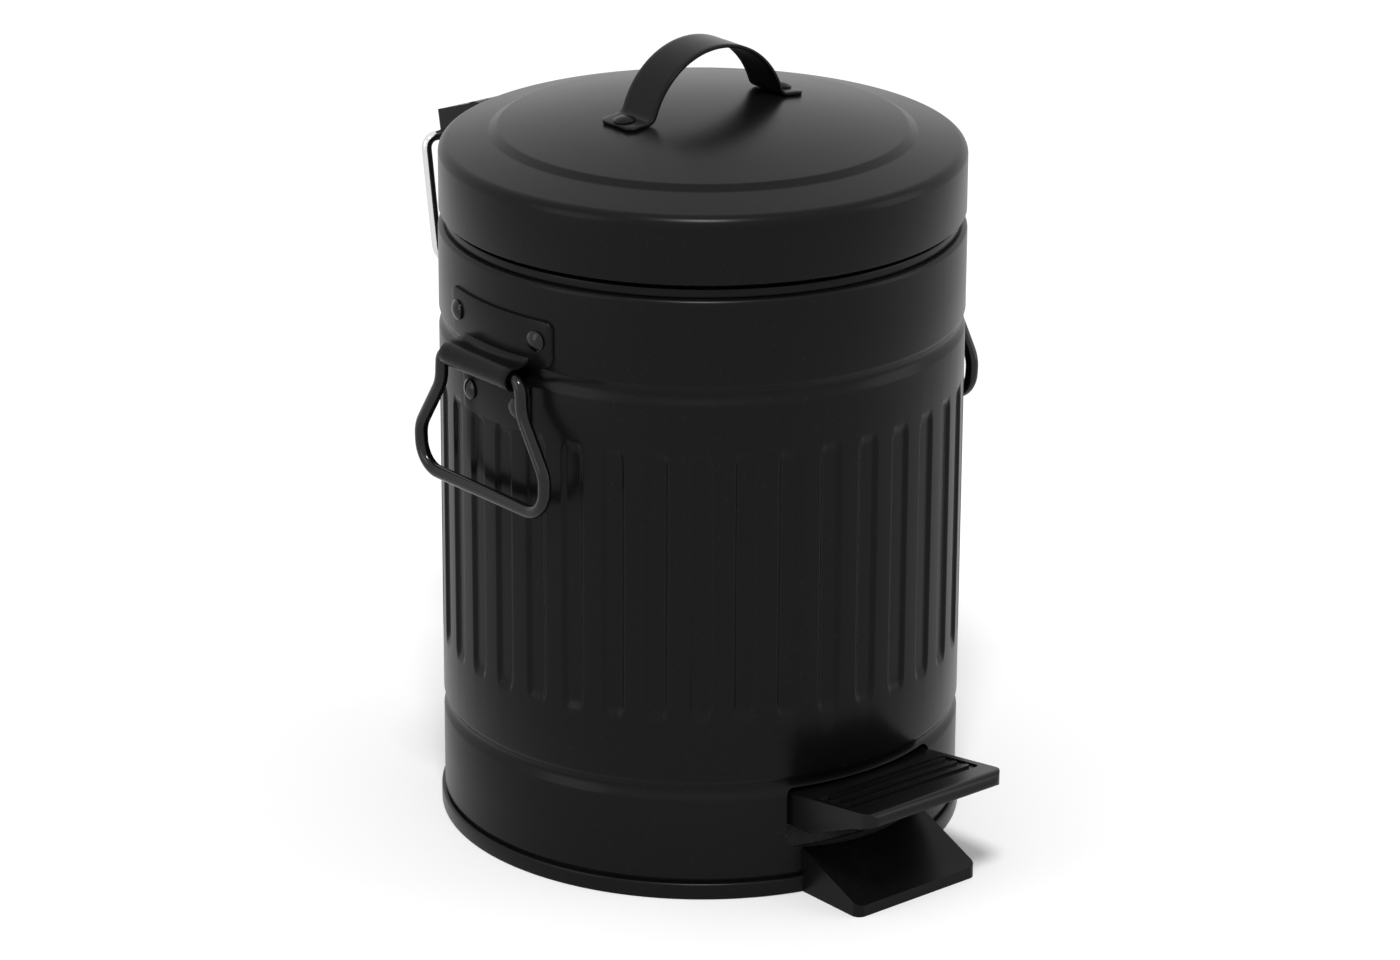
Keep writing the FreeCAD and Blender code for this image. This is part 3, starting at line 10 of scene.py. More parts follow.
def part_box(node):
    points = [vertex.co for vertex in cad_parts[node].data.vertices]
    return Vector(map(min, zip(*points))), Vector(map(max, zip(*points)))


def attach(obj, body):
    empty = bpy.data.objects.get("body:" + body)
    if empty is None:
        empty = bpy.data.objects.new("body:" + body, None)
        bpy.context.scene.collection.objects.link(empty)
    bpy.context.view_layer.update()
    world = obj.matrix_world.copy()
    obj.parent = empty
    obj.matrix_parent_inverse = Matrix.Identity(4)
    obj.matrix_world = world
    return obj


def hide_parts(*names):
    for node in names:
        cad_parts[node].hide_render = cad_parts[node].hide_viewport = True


bl_info = {
    "name": "Fluted step-on bin",
    "version": (1, 0, 0),
    "blender": (4, 5, 0),
    "location": "3D View > Sidebar > Step-on bin",
    "description": "Builds the visible pieces and finishes of a fluted steel bin with a pedal",
    "category": "Object",
}

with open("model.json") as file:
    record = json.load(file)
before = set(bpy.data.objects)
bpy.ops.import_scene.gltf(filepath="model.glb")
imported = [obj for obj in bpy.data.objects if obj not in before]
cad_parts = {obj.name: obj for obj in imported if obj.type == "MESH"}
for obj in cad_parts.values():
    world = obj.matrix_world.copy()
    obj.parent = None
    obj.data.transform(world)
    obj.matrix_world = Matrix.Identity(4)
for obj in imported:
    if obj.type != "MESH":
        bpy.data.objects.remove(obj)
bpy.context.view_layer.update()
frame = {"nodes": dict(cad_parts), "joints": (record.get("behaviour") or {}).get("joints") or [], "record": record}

MM = 0.001
X = Vector((1, 0, 0))
Y = Vector((0, 1, 0))
Z = Vector((0, 0, 1))
ORIGIN = (0, 0, 0)
FULL = 2 * math.pi


def joint_at(name):
    """A joint's point in the part's frame, in metres."""
    for joint in frame["joints"]:
        if joint["name"] == name:
            return Vector(joint["pos_m"])
    raise RuntimeError("the frame has no joint named " + name)


def top_of(node):
    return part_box(node)[1].z


def length(name, description, default):
    return FloatProperty(
        name=name, description=description, default=default, min=0.0,
        unit="LENGTH", subtype="DISTANCE",
    )


def angle_deg(name, description, default):
    return FloatProperty(name=name, description=description + ", in degrees", default=default)


def number(name, description, default, low, high):
    return IntProperty(name=name, description=description, default=default, min=low, max=high)


def colour(name, description, default):
    return FloatVectorProperty(
        name=name, description=description, default=default, size=3, min=0.0, max=1.0,
        subtype="COLOR",
    )


def strength(name, description, default):
    return FloatProperty(name=name, description=description, default=default, min=0.0)


# ---- Settings ----------------------------------------------------------------------------------
class BinCanSettings(bpy.types.PropertyGroup):
    radius: length("Can radius", "Outer radius of the can's wall", 100 * MM)
    sheet: length("Sheet", "Thickness of the can's and the lid's steel", 0.8 * MM)
    foot_z: length("Foot height", "Height of the can's lower edge", 7.4 * MM)
    shoulder_z: length("Shoulder height", "Height of the rolled shoulder", 236.5 * MM)
    shoulder_roll: length("Shoulder roll", "Radius of the rolled shoulder", 2.0 * MM)
    flange_radius: length("Flange radius", "Inner radius of the shoulder's flange", 95 * MM)
    groove_depth: length("Groove depth", "Depth of the two rolled grooves", 1.6 * MM)
    groove_height: length("Groove height", "Height of one rolled groove", 8.5 * MM)
    upper_groove_z: length("Upper groove", "Height of the upper groove", 199.8 * MM)
    lower_groove_z: length("Lower groove", "Height of the lower groove", 43.7 * MM)
    flute_count: number("Flutes", "Number of pressed flutes", 38, 6, 72)
    flute_first_deg: angle_deg("First flute", "Angle of the first flute's middle", 2.74)
    flute_depth: length("Flute depth", "Depth of a pressed flute", 1.3 * MM)
    flute_width: length("Flute width", "Width of a flute at half its depth", 7.6 * MM)
    flute_low_z: length("Flute foot", "Height of the flutes' lower ends", 70.5 * MM)
    flute_high_z: length("Flute head", "Height of the flutes' upper ends", 179 * MM)
    flute_slope: length("Flute slope", "Width of a flute's sloping side", 1.9 * MM)
    flute_corner: length("Flute corner", "Radius of the flutes' end corners", 1.7 * MM)
    flute_fade: length("Flute fade", "Length of the slope at a flute's two ends", 5.5 * MM)
    slot_half_width: length("Slot half width", "Half the width of the pedal slot", 35.7 * MM)
    slot_low_z: length("Slot foot", "Lower edge of the pedal slot", 18.5 * MM)
    slot_high_z: length("Slot head", "Upper edge of the pedal slot", 42.3 * MM)


class BinLidSettings(bpy.types.PropertyGroup):
    radius: length("Lid radius", "Outer radius of the lid's skirt", 99.7 * MM)
    hem_z: length("Hem height", "Height of the skirt's lower hem", 241.8 * MM)
    rim_round: length("Rim rounding", "Radius of the lid's outer edge", 4.5 * MM)
    step_radius: length("Step radius", "Outer radius of the raised step", 80.7 * MM)
    step_width: length("Step width", "Width of the raised step's slope", 3.5 * MM)
    step_rise: length("Step rise", "Height of the raised step", 2.0 * MM)
    crease_radius: length("Crease radius", "Radius where the crown starts", 63 * MM)
    crease_rise: length("Crease rise", "Height of the crease over the step", 2.7 * MM)
    crown_rise: length("Crown rise", "Height of the crown over the crease", 5.7 * MM)
    strap_width: length("Strap width", "Width of the strap handle", 19 * MM)
    strap_gauge: length("Strap gauge", "Thickness of the strap handle", 1.4 * MM)
    strap_arch: length("Strap arch", "Outer radius of the strap's arch", 32.6 * MM)
    strap_tip: length("Strap tip", "Distance of the strap's ends from the middle", 42.2 * MM)
    strap_bend: length("Strap bend", "Radius of the bends over the strap's feet", 4.0 * MM)
    strap_cut: length("Strap corner", "Size of the strap's cut corners", 2.2 * MM)
    strap_turn_deg: angle_deg("Strap turn", "Turn of the strap on the lid", -1.0)
    rivet_place: length("Rivet place", "Distance of the strap's rivets from the middle", 37.4 * MM)
    rivet_radius: length("Rivet radius", "Radius of the strap's rivet heads", 4.2 * MM)


class BinHandleSettings(bpy.types.PropertyGroup):
    bracket_sheet: length("Bracket sheet", "Thickness of the side brackets", 1.2 * MM)
    barrel_radius: length("Barrel radius", "Outer radius of the bracket's barrel", 4.6 * MM)
    bail_gauge: length("Bail wire", "Radius of the side bails' wire", 2.5 * MM)
    carry_gauge: length("Carry wire", "Radius of the rear handle's wire", 2.0 * MM)
    rivet_radius: length("Rivet radius", "Radius of the brackets' rivet heads", 3.9 * MM)


class BinPedalSettings(bpy.types.PropertyGroup):
    half_width: length("Tread half width", "Half the width of the tread", 34 * MM)
    corner: length("Tread corner", "Radius of the tread's front corners", 6 * MM)
    wall: length("Tread wall", "Thickness of the tread's two cheeks", 2.4 * MM)
    skin: length("Tread skin", "Thickness of the tread's top", 3.2 * MM)
    back_y: length("Tread back", "Distance of the tread's back edge from the can's axis", 84 * MM)
    back_z: length("Tread height", "Height of the tread's back edge", 38.9 * MM)
    slope_deg: angle_deg("Tread slope", "Rise of the tread towards the front", 8.0)
    field_drop: length("Field drop", "Depth of the sunk field round the ribs", 0.8 * MM)
    ribs: number("Grip ribs", "Number of raised ribs on the tread", 3, 0, 8)
    rib_first_y: length("First rib", "Distance of the first rib from the can's axis", 109.5 * MM)
    rib_pitch: length("Rib pitch", "Distance between the ribs", 6.6 * MM)
    rib_half_length: length("Rib half length", "Half the length of a rib", 29 * MM)
    rib_gauge: length("Rib width", "Half the width of a rib", 1.4 * MM)
    rib_rise: length("Rib rise", "Height of a rib over the tread's edge", 0.5 * MM)
    lever_half_width: length(
        "Lever half width", "Half the width of the groove for the lever", 9.1 * MM
    )
    lever_tilt_deg: angle_deg("Lever tilt", "Tilt of the lever at rest", 8.57)


class BinFinishSettings(bpy.types.PropertyGroup):
    coat: colour("Powder coat", "Colour of the matte coat", (0.0034, 0.0034, 0.0036))
    enamel: colour("Enamel", "Colour of the glossy wires and rivets", (0.0022, 0.0022, 0.0024))
    plastic: colour("Plastic", "Colour of the moulded plastic", (0.0032, 0.0032, 0.0035))
    bucket: colour("Bucket", "Colour of the inner bucket", (0.030, 0.030, 0.032))
    zinc: colour("Zinc", "Colour of the plated hardware", (0.56, 0.56, 0.54))
    chrome: colour("Chrome", "Colour of the plated wire", (0.78, 0.79, 0.80))
    grain: strength("Coat grain", "Strength of the coat's fine grain", 0.08)


class BinStageSettings(bpy.types.PropertyGroup):
    lens: FloatProperty(
        name="Lens", description="Focal length of the camera", default=131.63, min=1.0,
        subtype="DISTANCE_CAMERA",
    )
    key: strength("Key light", "Strength of the high key light", 1.75)
    key_spread_deg: angle_deg("Key spread", "Apparent size of the key light", 12.0)
    fill: strength("Fill light", "Power of each side light, in watts", 4.0)
    ambient: strength("Ambient", "Strength of the surroundings' plain light", 0.56)


# ---- Modelling helpers -------------------------------------------------------------------------
def push(bm, geom, step):
    """Extrudes vertices or edges along a straight step and returns the new end."""
    done = bmesh.ops.spin(
        bm, geom=geom, cent=ORIGIN, axis=Z, dvec=step, angle=0, steps=1, use_duplicate=False
    )
    return done["geom_last"]


def swing(bm, geom, centre, axis, angle, steps):
    """Extrudes vertices or edges round an axis and returns the new end."""
    done = bmesh.ops.spin(
        bm, geom=geom, cent=centre, axis=axis, dvec=ORIGIN, angle=angle, steps=steps,
        use_duplicate=False,
    )
    return done["geom_last"]


def climb(bm, geom, z, rows):
    """Extrudes geometry from height z through a row of heights and returns the new end."""
    for row in rows:
        geom = push(bm, geom, Z * (row - z))
        z = row
    return geom


def follow(bm, geom, points, radii, steps):
    """Extrudes geometry along straight runs, with a bend of its own radius at each inner point."""
    place = Vector(points[0])
    for before, corner, after, radius in zip(points, points[1:], points[2:], radii):
        inward = (corner - before).normalized()
        outward = (after - corner).normalized()
        turn = inward.angle(outward)
        reach = radius * math.tan(turn / 2)
        axis = inward.cross(outward).normalized()
        tangent = corner - inward * reach
        geom = push(bm, geom, tangent - place)
        if radius > 0:
            centre = tangent + axis.cross(inward) * radius
            geom = swing(bm, geom, centre, axis, turn, steps)
        place = corner + outward * reach
    return push(bm, geom, points[-1] - place)


def drawn(bm):
    """All of a wire's vertices and edges, ready to be extruded."""
    return bm.verts[:] + bm.edges[:]


def outline(bm, points, radii, steps):
    """Draws a wire through points, with a radius for each inner corner."""
    follow(bm, [bm.verts.new(points[0])], points, radii, steps)


def close(bm):
    """Joins the two loose ends of the only wire in a bmesh."""
    bm.edges.new([v for v in bm.verts if len(v.link_edges) == 1])


def loop(bm, points, radii, steps):
    """Draws a closed wire through points, with a radius for every corner."""
    middle = (points[0] + points[-1]) / 2
    seam = Z * 0.01 * MM
    outline(bm, [middle] + points + [middle + seam], radii, steps)
    close(bm)


def lathe(bm, steps):
    """Turns the wire in a bmesh fully about the can's axis."""
    bmesh.ops.spin(
        bm, geom=drawn(bm), cent=ORIGIN, axis=Z, dvec=ORIGIN, angle=FULL, steps=steps,
        use_merge=True,
    )
    weld(bm)


def weld(bm):
    """Joins vertices in one place, drops what has no size and turns the faces outwards."""
    near = 0.01 * MM
    bmesh.ops.remove_doubles(bm, verts=bm.verts, dist=near)
    bmesh.ops.dissolve_degenerate(bm, dist=near / 10, edges=bm.edges)
    bmesh.ops.recalc_face_normals(bm, faces=bm.faces)


def cap_ends(bm):
    """Fills the open ends of a pushed outline."""
    open_edges = [e for e in bm.edges if len(e.link_faces) == 1]
    bmesh.ops.holes_fill(bm, edges=open_edges, sides=0)


def round_edges(bm, edges, offset, segments):
    bmesh.ops.bevel(
        bm, geom=edges, offset=offset, offset_type="OFFSET", affect="EDGES", segments=segments,
        profile=0.5, material=-1, clamp_overlap=True,
    )


def sharp_edges(bm):
    """The edges whose two faces turn by more than 60 degrees."""
    limit = math.radians(60)
    return [e for e in bm.edges if len(e.link_faces) == 2 and e.calc_face_angle(0) > limit]


def edges_along(bm, axis, least=MM):
    """The edges of a block that run along an axis, given as 0, 1 or 2."""
    return [e for e in bm.edges if abs((e.verts[0].co - e.verts[1].co)[axis]) > least]


def place_all(bm, matrix):
    """Moves everything in a bmesh to a placement."""
    bmesh.ops.transform(bm, matrix=matrix, space=Matrix.Identity(4), verts=bm.verts)


def turn_all(bm, degrees):
    """Turns everything in a bmesh about the can's axis."""
    place_all(bm, Matrix.Rotation(math.radians(degrees), 4, "Z"))


def shade(mesh, sharp):
    """Smooth shading that breaks where faces turn by more than an angle, in degrees."""
    mesh.shade_smooth()
    mesh.set_sharp_from_angle(angle=math.radians(sharp))


def piece(bm, name, material, node, body, sharp, join=True):
    """Turns a bmesh into a named object that rides on its body and stands for its CAD node."""
    if join:
        weld(bm)
    mesh = bpy.data.meshes.new(name)
    bm.to_mesh(mesh)
    bm.free()
    obj = bpy.data.objects.new(name, mesh)
    bpy.context.scene.collection.objects.link(obj)
    shade(mesh, sharp)
    mesh.materials.append(material)
    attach(obj, body)
    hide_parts(node)
    return obj


def soft_edges(obj, width, segments, degrees):
    """Rounds the edges of a piece that turn by more than an angle, in degrees."""
    change = obj.modifiers.new("soft edges", "BEVEL")
    change.width = width
    change.segments = segments
    change.limit_method = "ANGLE"
    change.angle_limit = math.radians(degrees)


def block(bm, low, high):
    """Adds a box between two corners."""
    low, high = Vector(low), Vector(high)
    place = Matrix.Translation((low + high) / 2) @ Matrix.Diagonal((*(high - low), 1))
    bmesh.ops.create_cube(bm, size=1, matrix=place)


def thicken(bm, step):
    """Pushes a closed flat wire along a step and closes both ends, which makes it a solid."""
    weld(bm)
    push(bm, drawn(bm), step)
    cap_ends(bm)
    bmesh.ops.recalc_face_normals(bm, faces=bm.faces)


def rod_between(bm, start, end, radius):
    """Adds a closed cylinder from one point to another."""
    start, end = Vector(start), Vector(end)
    along = end - start
    bmesh.ops.create_cone(
        bm, cap_ends=True, segments=24, radius1=radius, radius2=radius, depth=along.length,
        matrix=standing((start + end) / 2, along),
    )


def carve(obj, cutter_bm, operation="DIFFERENCE"):
    """Cuts or joins a bmesh with an object and keeps the result in the object's own mesh."""
    weld(cutter_bm)
    mesh = bpy.data.meshes.new("cutter")
    cutter_bm.to_mesh(mesh)
    cutter_bm.free()
    cutter = bpy.data.objects.new("cutter", mesh)
    bpy.context.scene.collection.objects.link(cutter)
    change = obj.modifiers.new("carve", "BOOLEAN")
    change.object = cutter
    change.operation = operation
    change.solver = "EXACT"
    bpy.context.view_layer.update()
    shape = obj.evaluated_get(bpy.context.evaluated_depsgraph_get())
    result = bpy.data.meshes.new_from_object(shape)
    obj.modifiers.clear()
    old = obj.data
    obj.data = result
    result.name = obj.name
    bpy.data.meshes.remove(old)
    bpy.data.objects.remove(cutter)
    bpy.data.meshes.remove(mesh)
    return obj


def stamp(bm, part, place=Matrix.Identity(4)):
    """Adds a bmesh to another one at a place, and frees it."""
    place_all(part, place)
    mesh = bpy.data.meshes.new("stamp")
    part.to_mesh(mesh)
    part.free()
    bm.from_mesh(mesh)
    bpy.data.meshes.remove(mesh)


def standing(base, axis):
    """A placement that stands a shape made along +Z on a base, along an axis."""
    turn = Vector(axis).to_track_quat("Z", "Y").to_matrix().to_4x4()
    return Matrix.Translation(Vector(base)) @ turn


def low_dome(radius, height):
    """A rivet head: a small upright edge under a low dome."""
    bm = bmesh.new()
    lip = height * 0.3
    rise = height - lip
    ball = (radius**2 + rise**2) / (2 * rise)
    end = push(bm, [bm.verts.new(ORIGIN)], X * radius)
    end = push(bm, end, Z * lip)
    swing(bm, end, (0, 0, height - ball), Y, -math.asin(radius / ball), 7)
    lathe(bm, 32)
    return bm


def rivet(bm, out, head, back, ends):
    """Adds a rivet; its head and its back are (base, radius, height), its shank has two ends."""
    for (base, radius, height), way in ((head, out), (back, -out)):
        stamp(bm, low_dome(radius, height), standing(base, way))
    rod_between(bm, *ends, 2 * MM)


def ring(section, radii, steps):
    """A full ring from a closed section of (radius, height), with a radius for every corner."""
    bm = bmesh.new()
    points = [Vector((r * MM, 0, z * MM)) for r, z in section]
    loop(bm, points, [r * MM for r in radii], steps)
    lathe(bm, 256)
    return bm


def handle_wire(pivot, across, corners, bends, gauge):
    """A wire handle alike on both sides of its pivot; corners are (run, drop) from the pivot."""
    near = [pivot + across * run * MM - Z * drop * MM for run, drop in corners]
    far = [pivot - across * run * MM - Z * drop * MM for run, drop in reversed(corners)]
    path = near + far
    bm = bmesh.new()
    start = standing(path[0], path[1] - path[0])
    bmesh.ops.create_circle(bm, cap_ends=False, radius=gauge, segments=28, matrix=start)
    follow(bm, drawn(bm), path, [b * MM for b in (*bends, *reversed(bends))], 10)
    cap_ends(bm)
    weld(bm)
    round_edges(bm, sharp_edges(bm), gauge * 0.2, 2)
    return bm


def soften(node, name, material, body, width):
    """A copy of a CAD node's mesh with its loose triangles merged and its hard edges rounded."""
    bm = bmesh.new()
    bm.from_mesh(frame["nodes"][node].data)
    weld(bm)
    flat = math.radians(2)
    bmesh.ops.dissolve_limit(bm, angle_limit=flat, verts=bm.verts, edges=bm.edges)
    obj = piece(bm, name, material, node, body, 35, join=False)
    soft_edges(obj, width, 2, 25)


# ---- Finishes ----------------------------------------------------------------------------------
GRAIN_SIZES = ("Grain size", "Mottle size", "Speck size", "Speck share")


def grain_group():
    """Fine grain, broad mottle and small specks, all as values that change over the surface."""
    name = "Surface grain"
    if name in bpy.data.node_groups:
        return bpy.data.node_groups[name]
    group = bpy.data.node_groups.new(name, "ShaderNodeTree")
    face = group.interface
    face.new_socket("Vector", in_out="INPUT", socket_type="NodeSocketVector")
    for label, value in zip(GRAIN_SIZES, (2200.0, 40.0, 900.0, 0.62)):
        socket = face.new_socket(label, in_out="INPUT", socket_type="NodeSocketFloat")
        socket.default_value = value
    for label in ("Grain", "Mottle", "Specks"):
        face.new_socket(label, in_out="OUTPUT", socket_type="NodeSocketFloat")
    nodes, links = group.nodes, group.links
    given = nodes.new("NodeGroupInput")
    out = nodes.new("NodeGroupOutput")
    grain = nodes.new("ShaderNodeTexNoise")
    grain.inputs["Detail"].default_value = 3
    mottle = nodes.new("ShaderNodeTexNoise")
    mottle.inputs["Detail"].default_value = 4
    speck = nodes.new("ShaderNodeTexNoise")
    speck.inputs["Detail"].default_value = 1
    step = nodes.new("ShaderNodeMapRange")
    step.inputs["To Max"].default_value = 1.0
    fade = nodes.new("ShaderNodeMath")
    fade.operation = "ADD"
    fade.inputs[1].default_value = 0.08
    for tex, size in ((grain, "Grain size"), (mottle, "Mottle size"), (speck, "Speck size")):
        links.new(given.outputs["Vector"], tex.inputs["Vector"])
        links.new(given.outputs[size], tex.inputs["Scale"])
    links.new(speck.outputs["Fac"], step.inputs["Value"])
    links.new(given.outputs["Speck share"], step.inputs["From Min"])
    links.new(given.outputs["Speck share"], fade.inputs[0])
    links.new(fade.outputs[0], step.inputs["From Max"])
    links.new(grain.outputs["Fac"], out.inputs["Grain"])
    links.new(mottle.outputs["Fac"], out.inputs["Mottle"])
    links.new(step.outputs["Result"], out.inputs["Specks"])
    return group


def finish(name, base, rough, spread, bump, distance, sizes, tint=0.25, metallic=0.0, level=0.5):
    """A finish whose colour, roughness and bump follow the grain group on Object coordinates."""
    if name in bpy.data.materials:
        return bpy.data.materials[name]
    mat = bpy.data.materials.new(name)
    mat.use_nodes = True
    mat.diffuse_color = (*base, 1)
    nodes, links = mat.node_tree.nodes, mat.node_tree.links
    nodes.clear()
    out = nodes.new("ShaderNodeOutputMaterial")
    skin = nodes.new("ShaderNodeBsdfPrincipled")
    skin.inputs["Metallic"].default_value = metallic
    skin.inputs["Specular IOR Level"].default_value = level
    links.new(skin.outputs["BSDF"], out.inputs["Surface"])
    place = nodes.new("ShaderNodeTexCoord")
    grain = nodes.new("ShaderNodeGroup")
    grain.node_tree = grain_group()
    for label, value in zip(GRAIN_SIZES, sizes):
        grain.inputs[label].default_value = value
    links.new(place.outputs["Object"], grain.inputs["Vector"])
    shade_mix = nodes.new("ShaderNodeMix")
    shade_mix.data_type = "RGBA"
    shade_mix.inputs["A"].default_value = (*[c * (1 - tint) for c in base], 1)
    shade_mix.inputs["B"].default_value = (*[min(1, c * (1 + tint)) for c in base], 1)
    links.new(grain.outputs["Mottle"], shade_mix.inputs["Factor"])
    speck_mix = nodes.new("ShaderNodeMix")
    speck_mix.data_type = "RGBA"
    speck_mix.inputs["B"].default_value = (*[min(1, c * 1.5 + 0.002) for c in base], 1)
    links.new(grain.outputs["Specks"], speck_mix.inputs["Factor"])
    links.new(shade_mix.outputs["Result"], speck_mix.inputs["A"])
    links.new(speck_mix.outputs["Result"], skin.inputs["Base Color"])
    span = nodes.new("ShaderNodeMapRange")
    span.inputs["To Min"].default_value = rough - spread
    span.inputs["To Max"].default_value = rough + spread
    links.new(grain.outputs["Mottle"], span.inputs["Value"])
    links.new(span.outputs["Result"], skin.inputs["Roughness"])
    relief = nodes.new("ShaderNodeBump")
    relief.inputs["Strength"].default_value = bump
    relief.inputs["Distance"].default_value = distance
    links.new(grain.outputs["Grain"], relief.inputs["Height"])
    links.new(relief.outputs["Normal"], skin.inputs["Normal"])
    return mat


def powder_coat(scene):
    looks = scene.bin_finish
    return finish(
        "Matte powder coat", looks.coat, rough=0.28, spread=0.02, bump=looks.grain,
        distance=0.03 * MM, sizes=(1500.0, 22.0, 700.0, 0.66), tint=0.12, level=0.125,
    )


def enamel(scene):
    return finish(
        "Glossy enamel", scene.bin_finish.enamel, rough=0.13, spread=0.02, bump=0.04,
        distance=0.05 * MM, sizes=(500.0, 60.0, 900.0, 0.8), tint=0.2, level=0.35,
    )


def satin_plastic(scene):
    return finish(
        "Satin moulded plastic", scene.bin_finish.plastic, rough=0.27, spread=0.04, bump=0.08,
        distance=0.03 * MM, sizes=(2600.0, 30.0, 1200.0, 0.7), level=0.14,
    )


def tread_plastic(scene):
    return finish(
        "Worn tread plastic", scene.bin_finish.plastic, rough=0.26, spread=0.04, bump=0.10,
        distance=0.04 * MM, sizes=(2000.0, 45.0, 800.0, 0.68), tint=0.3, level=0.2,
    )


def bucket_plastic(scene):
    return finish(
        "Bucket plastic", scene.bin_finish.bucket, rough=0.45, spread=0.05, bump=0.15,
        distance=0.06 * MM, sizes=(1800.0, 18.0, 500.0, 0.72), level=0.4,
    )


def zinc_plate(scene):
    return finish(
        "Zinc plate", scene.bin_finish.zinc, rough=0.34, spread=0.08, bump=0.2,
        distance=0.03 * MM, sizes=(1400.0, 120.0, 600.0, 0.64), tint=0.15, metallic=1.0,
    )


def drawn_wire(scene):
    return finish(
        "Drawn wire", scene.bin_finish.zinc, rough=0.24, spread=0.06, bump=0.1,
        distance=0.03 * MM, sizes=(1900.0, 90.0, 900.0, 0.7), tint=0.1, metallic=1.0,
    )


def chrome_plate(scene):
    return finish(
        "Chrome plate", scene.bin_finish.chrome, rough=0.07, spread=0.03, bump=0.02,
        distance=0.03 * MM, sizes=(300.0, 50.0, 1200.0, 0.78), tint=0.04, metallic=1.0,
    )


# ---- Pieces ------------------------------------------------------------------------------------
# Rows of faces near a flute's two ends, as distances in mm from the end towards the middle.
FLUTE_END_ROWS = (-0.3, 0.7, 1.6, 2.5, 3.4, 4.3, 5.2, 6.4, 8.5)
# Columns of faces on both sides of a flute's middle, as distances in mm along the wall.
FLUTE_COLUMNS = (1.4, 2.5, 2.9, 3.3, 3.6, 3.95, 4.3, 4.7, 5.1, 6.6)
# Boxes in mm that let the lid's crank through, as two corners.
CRANK_GAPS = {
    "can": ((-6.5, 90, 234.5), (6.5, 98.2, 238)),
    "lid": ((-5.8, 60, 235), (5.8, 103, 253)),
    "collar": ((-8, 60, 220), (8, 103, 245)),
    "bucket": ((-8, 87.9, 230), (8, 103, 245)),
}
# Steps in mm that turn the skirt's lower edge inwards, as (outwards, up).
HEM_STEPS = ((-0.2, -0.5), (-0.5, -0.2), (-0.7, 0), (-0.2, 0.7))
HEM_HEIGHT = 0.7 * MM
RIM_SLOPE_DEG = 12.7
# Wire handles: corners in mm as (run, drop) from the pivot, and the radius of each bend.
BAIL_CORNERS = ((6, 0), (23.6, 0), (24.4, 12.5), (37.6, 33.2), (36.8, 49.2))
BAIL_BENDS = (4.5, 14, 12, 10.5)
CARRY_CORNERS = ((19, 0), (32.6, 0), (27, 52.5))
CARRY_BENDS = (4, 9)
# Rivets of a side bracket, as (degrees from its middle, height in mm).
BRACKET_RIVETS = ((13.3, 214.5), (7.9, 186.3))


def smooth(share):
    """A smooth rise from 0 to 1 as a share does, held at both ends."""
    share = min(1.0, max(0.0, share))
    return share * share * (3 - 2 * share)


def crank_gap(bm, of):
    """Adds the box that is cut out of a piece to let the lid's crank through."""
    low, high = CRANK_GAPS[of]
    block(bm, [c * MM for c in low], [c * MM for c in high])
    return bm


def groove_rows(centre, height, count):
    return [centre + height * (i / count - 0.5) for i in range(count + 1)]


def flute_rows(s):
    """Heights of the wall's rows in the flute band, close together at the flutes' two ends."""
    low = [s.flute_low_z + e * MM for e in FLUTE_END_ROWS]
    high = [s.flute_high_z - e * MM for e in reversed(FLUTE_END_ROWS)]
    gap = high[0] - low[-1]
    return low + [low[-1] + gap * i / 4 for i in (1, 2, 3)] + high


def wall_rows(s):
    """Heights of the rows of faces on the can's outer side, from the foot to the shoulder."""
    foot = [s.foot_z + 1.5 * MM, s.foot_z + 15 * MM]
    lower = groove_rows(s.lower_groove_z, s.groove_height, 14)
    upper = groove_rows(s.upper_groove_z, s.groove_height, 14)
    shoulder = [s.shoulder_z - 18 * MM, s.shoulder_z - s.shoulder_roll]
    return foot + lower + flute_rows(s) + upper + shoulder


def groove_press(s, z):
    """How far a rolled groove draws the wall in at a height."""
    for middle in (s.lower_groove_z, s.upper_groove_z):
        share = abs(z - middle) / (s.groove_height / 2)
        if share < 1:
            return s.groove_depth * math.cos(share * math.pi / 2) ** 1.5
    return 0.0


def flute_press(s, across, z):
    """How far a flute is pressed in, from the distance to its round-ended outline."""
    corner = s.flute_corner
    middle = (s.flute_low_z + s.flute_high_z) / 2
    tall = (s.flute_high_z - s.flute_low_z) / 2 - s.flute_fade / 2
    dx = abs(across) - s.flute_width / 2 + corner
    dz = (abs(z - middle) - tall) * s.flute_slope / s.flute_fade + corner
    gap = math.hypot(max(dx, 0), max(dz, 0)) + min(max(dx, dz), 0) - corner
    return s.flute_depth * smooth(0.5 - gap / s.flute_slope)


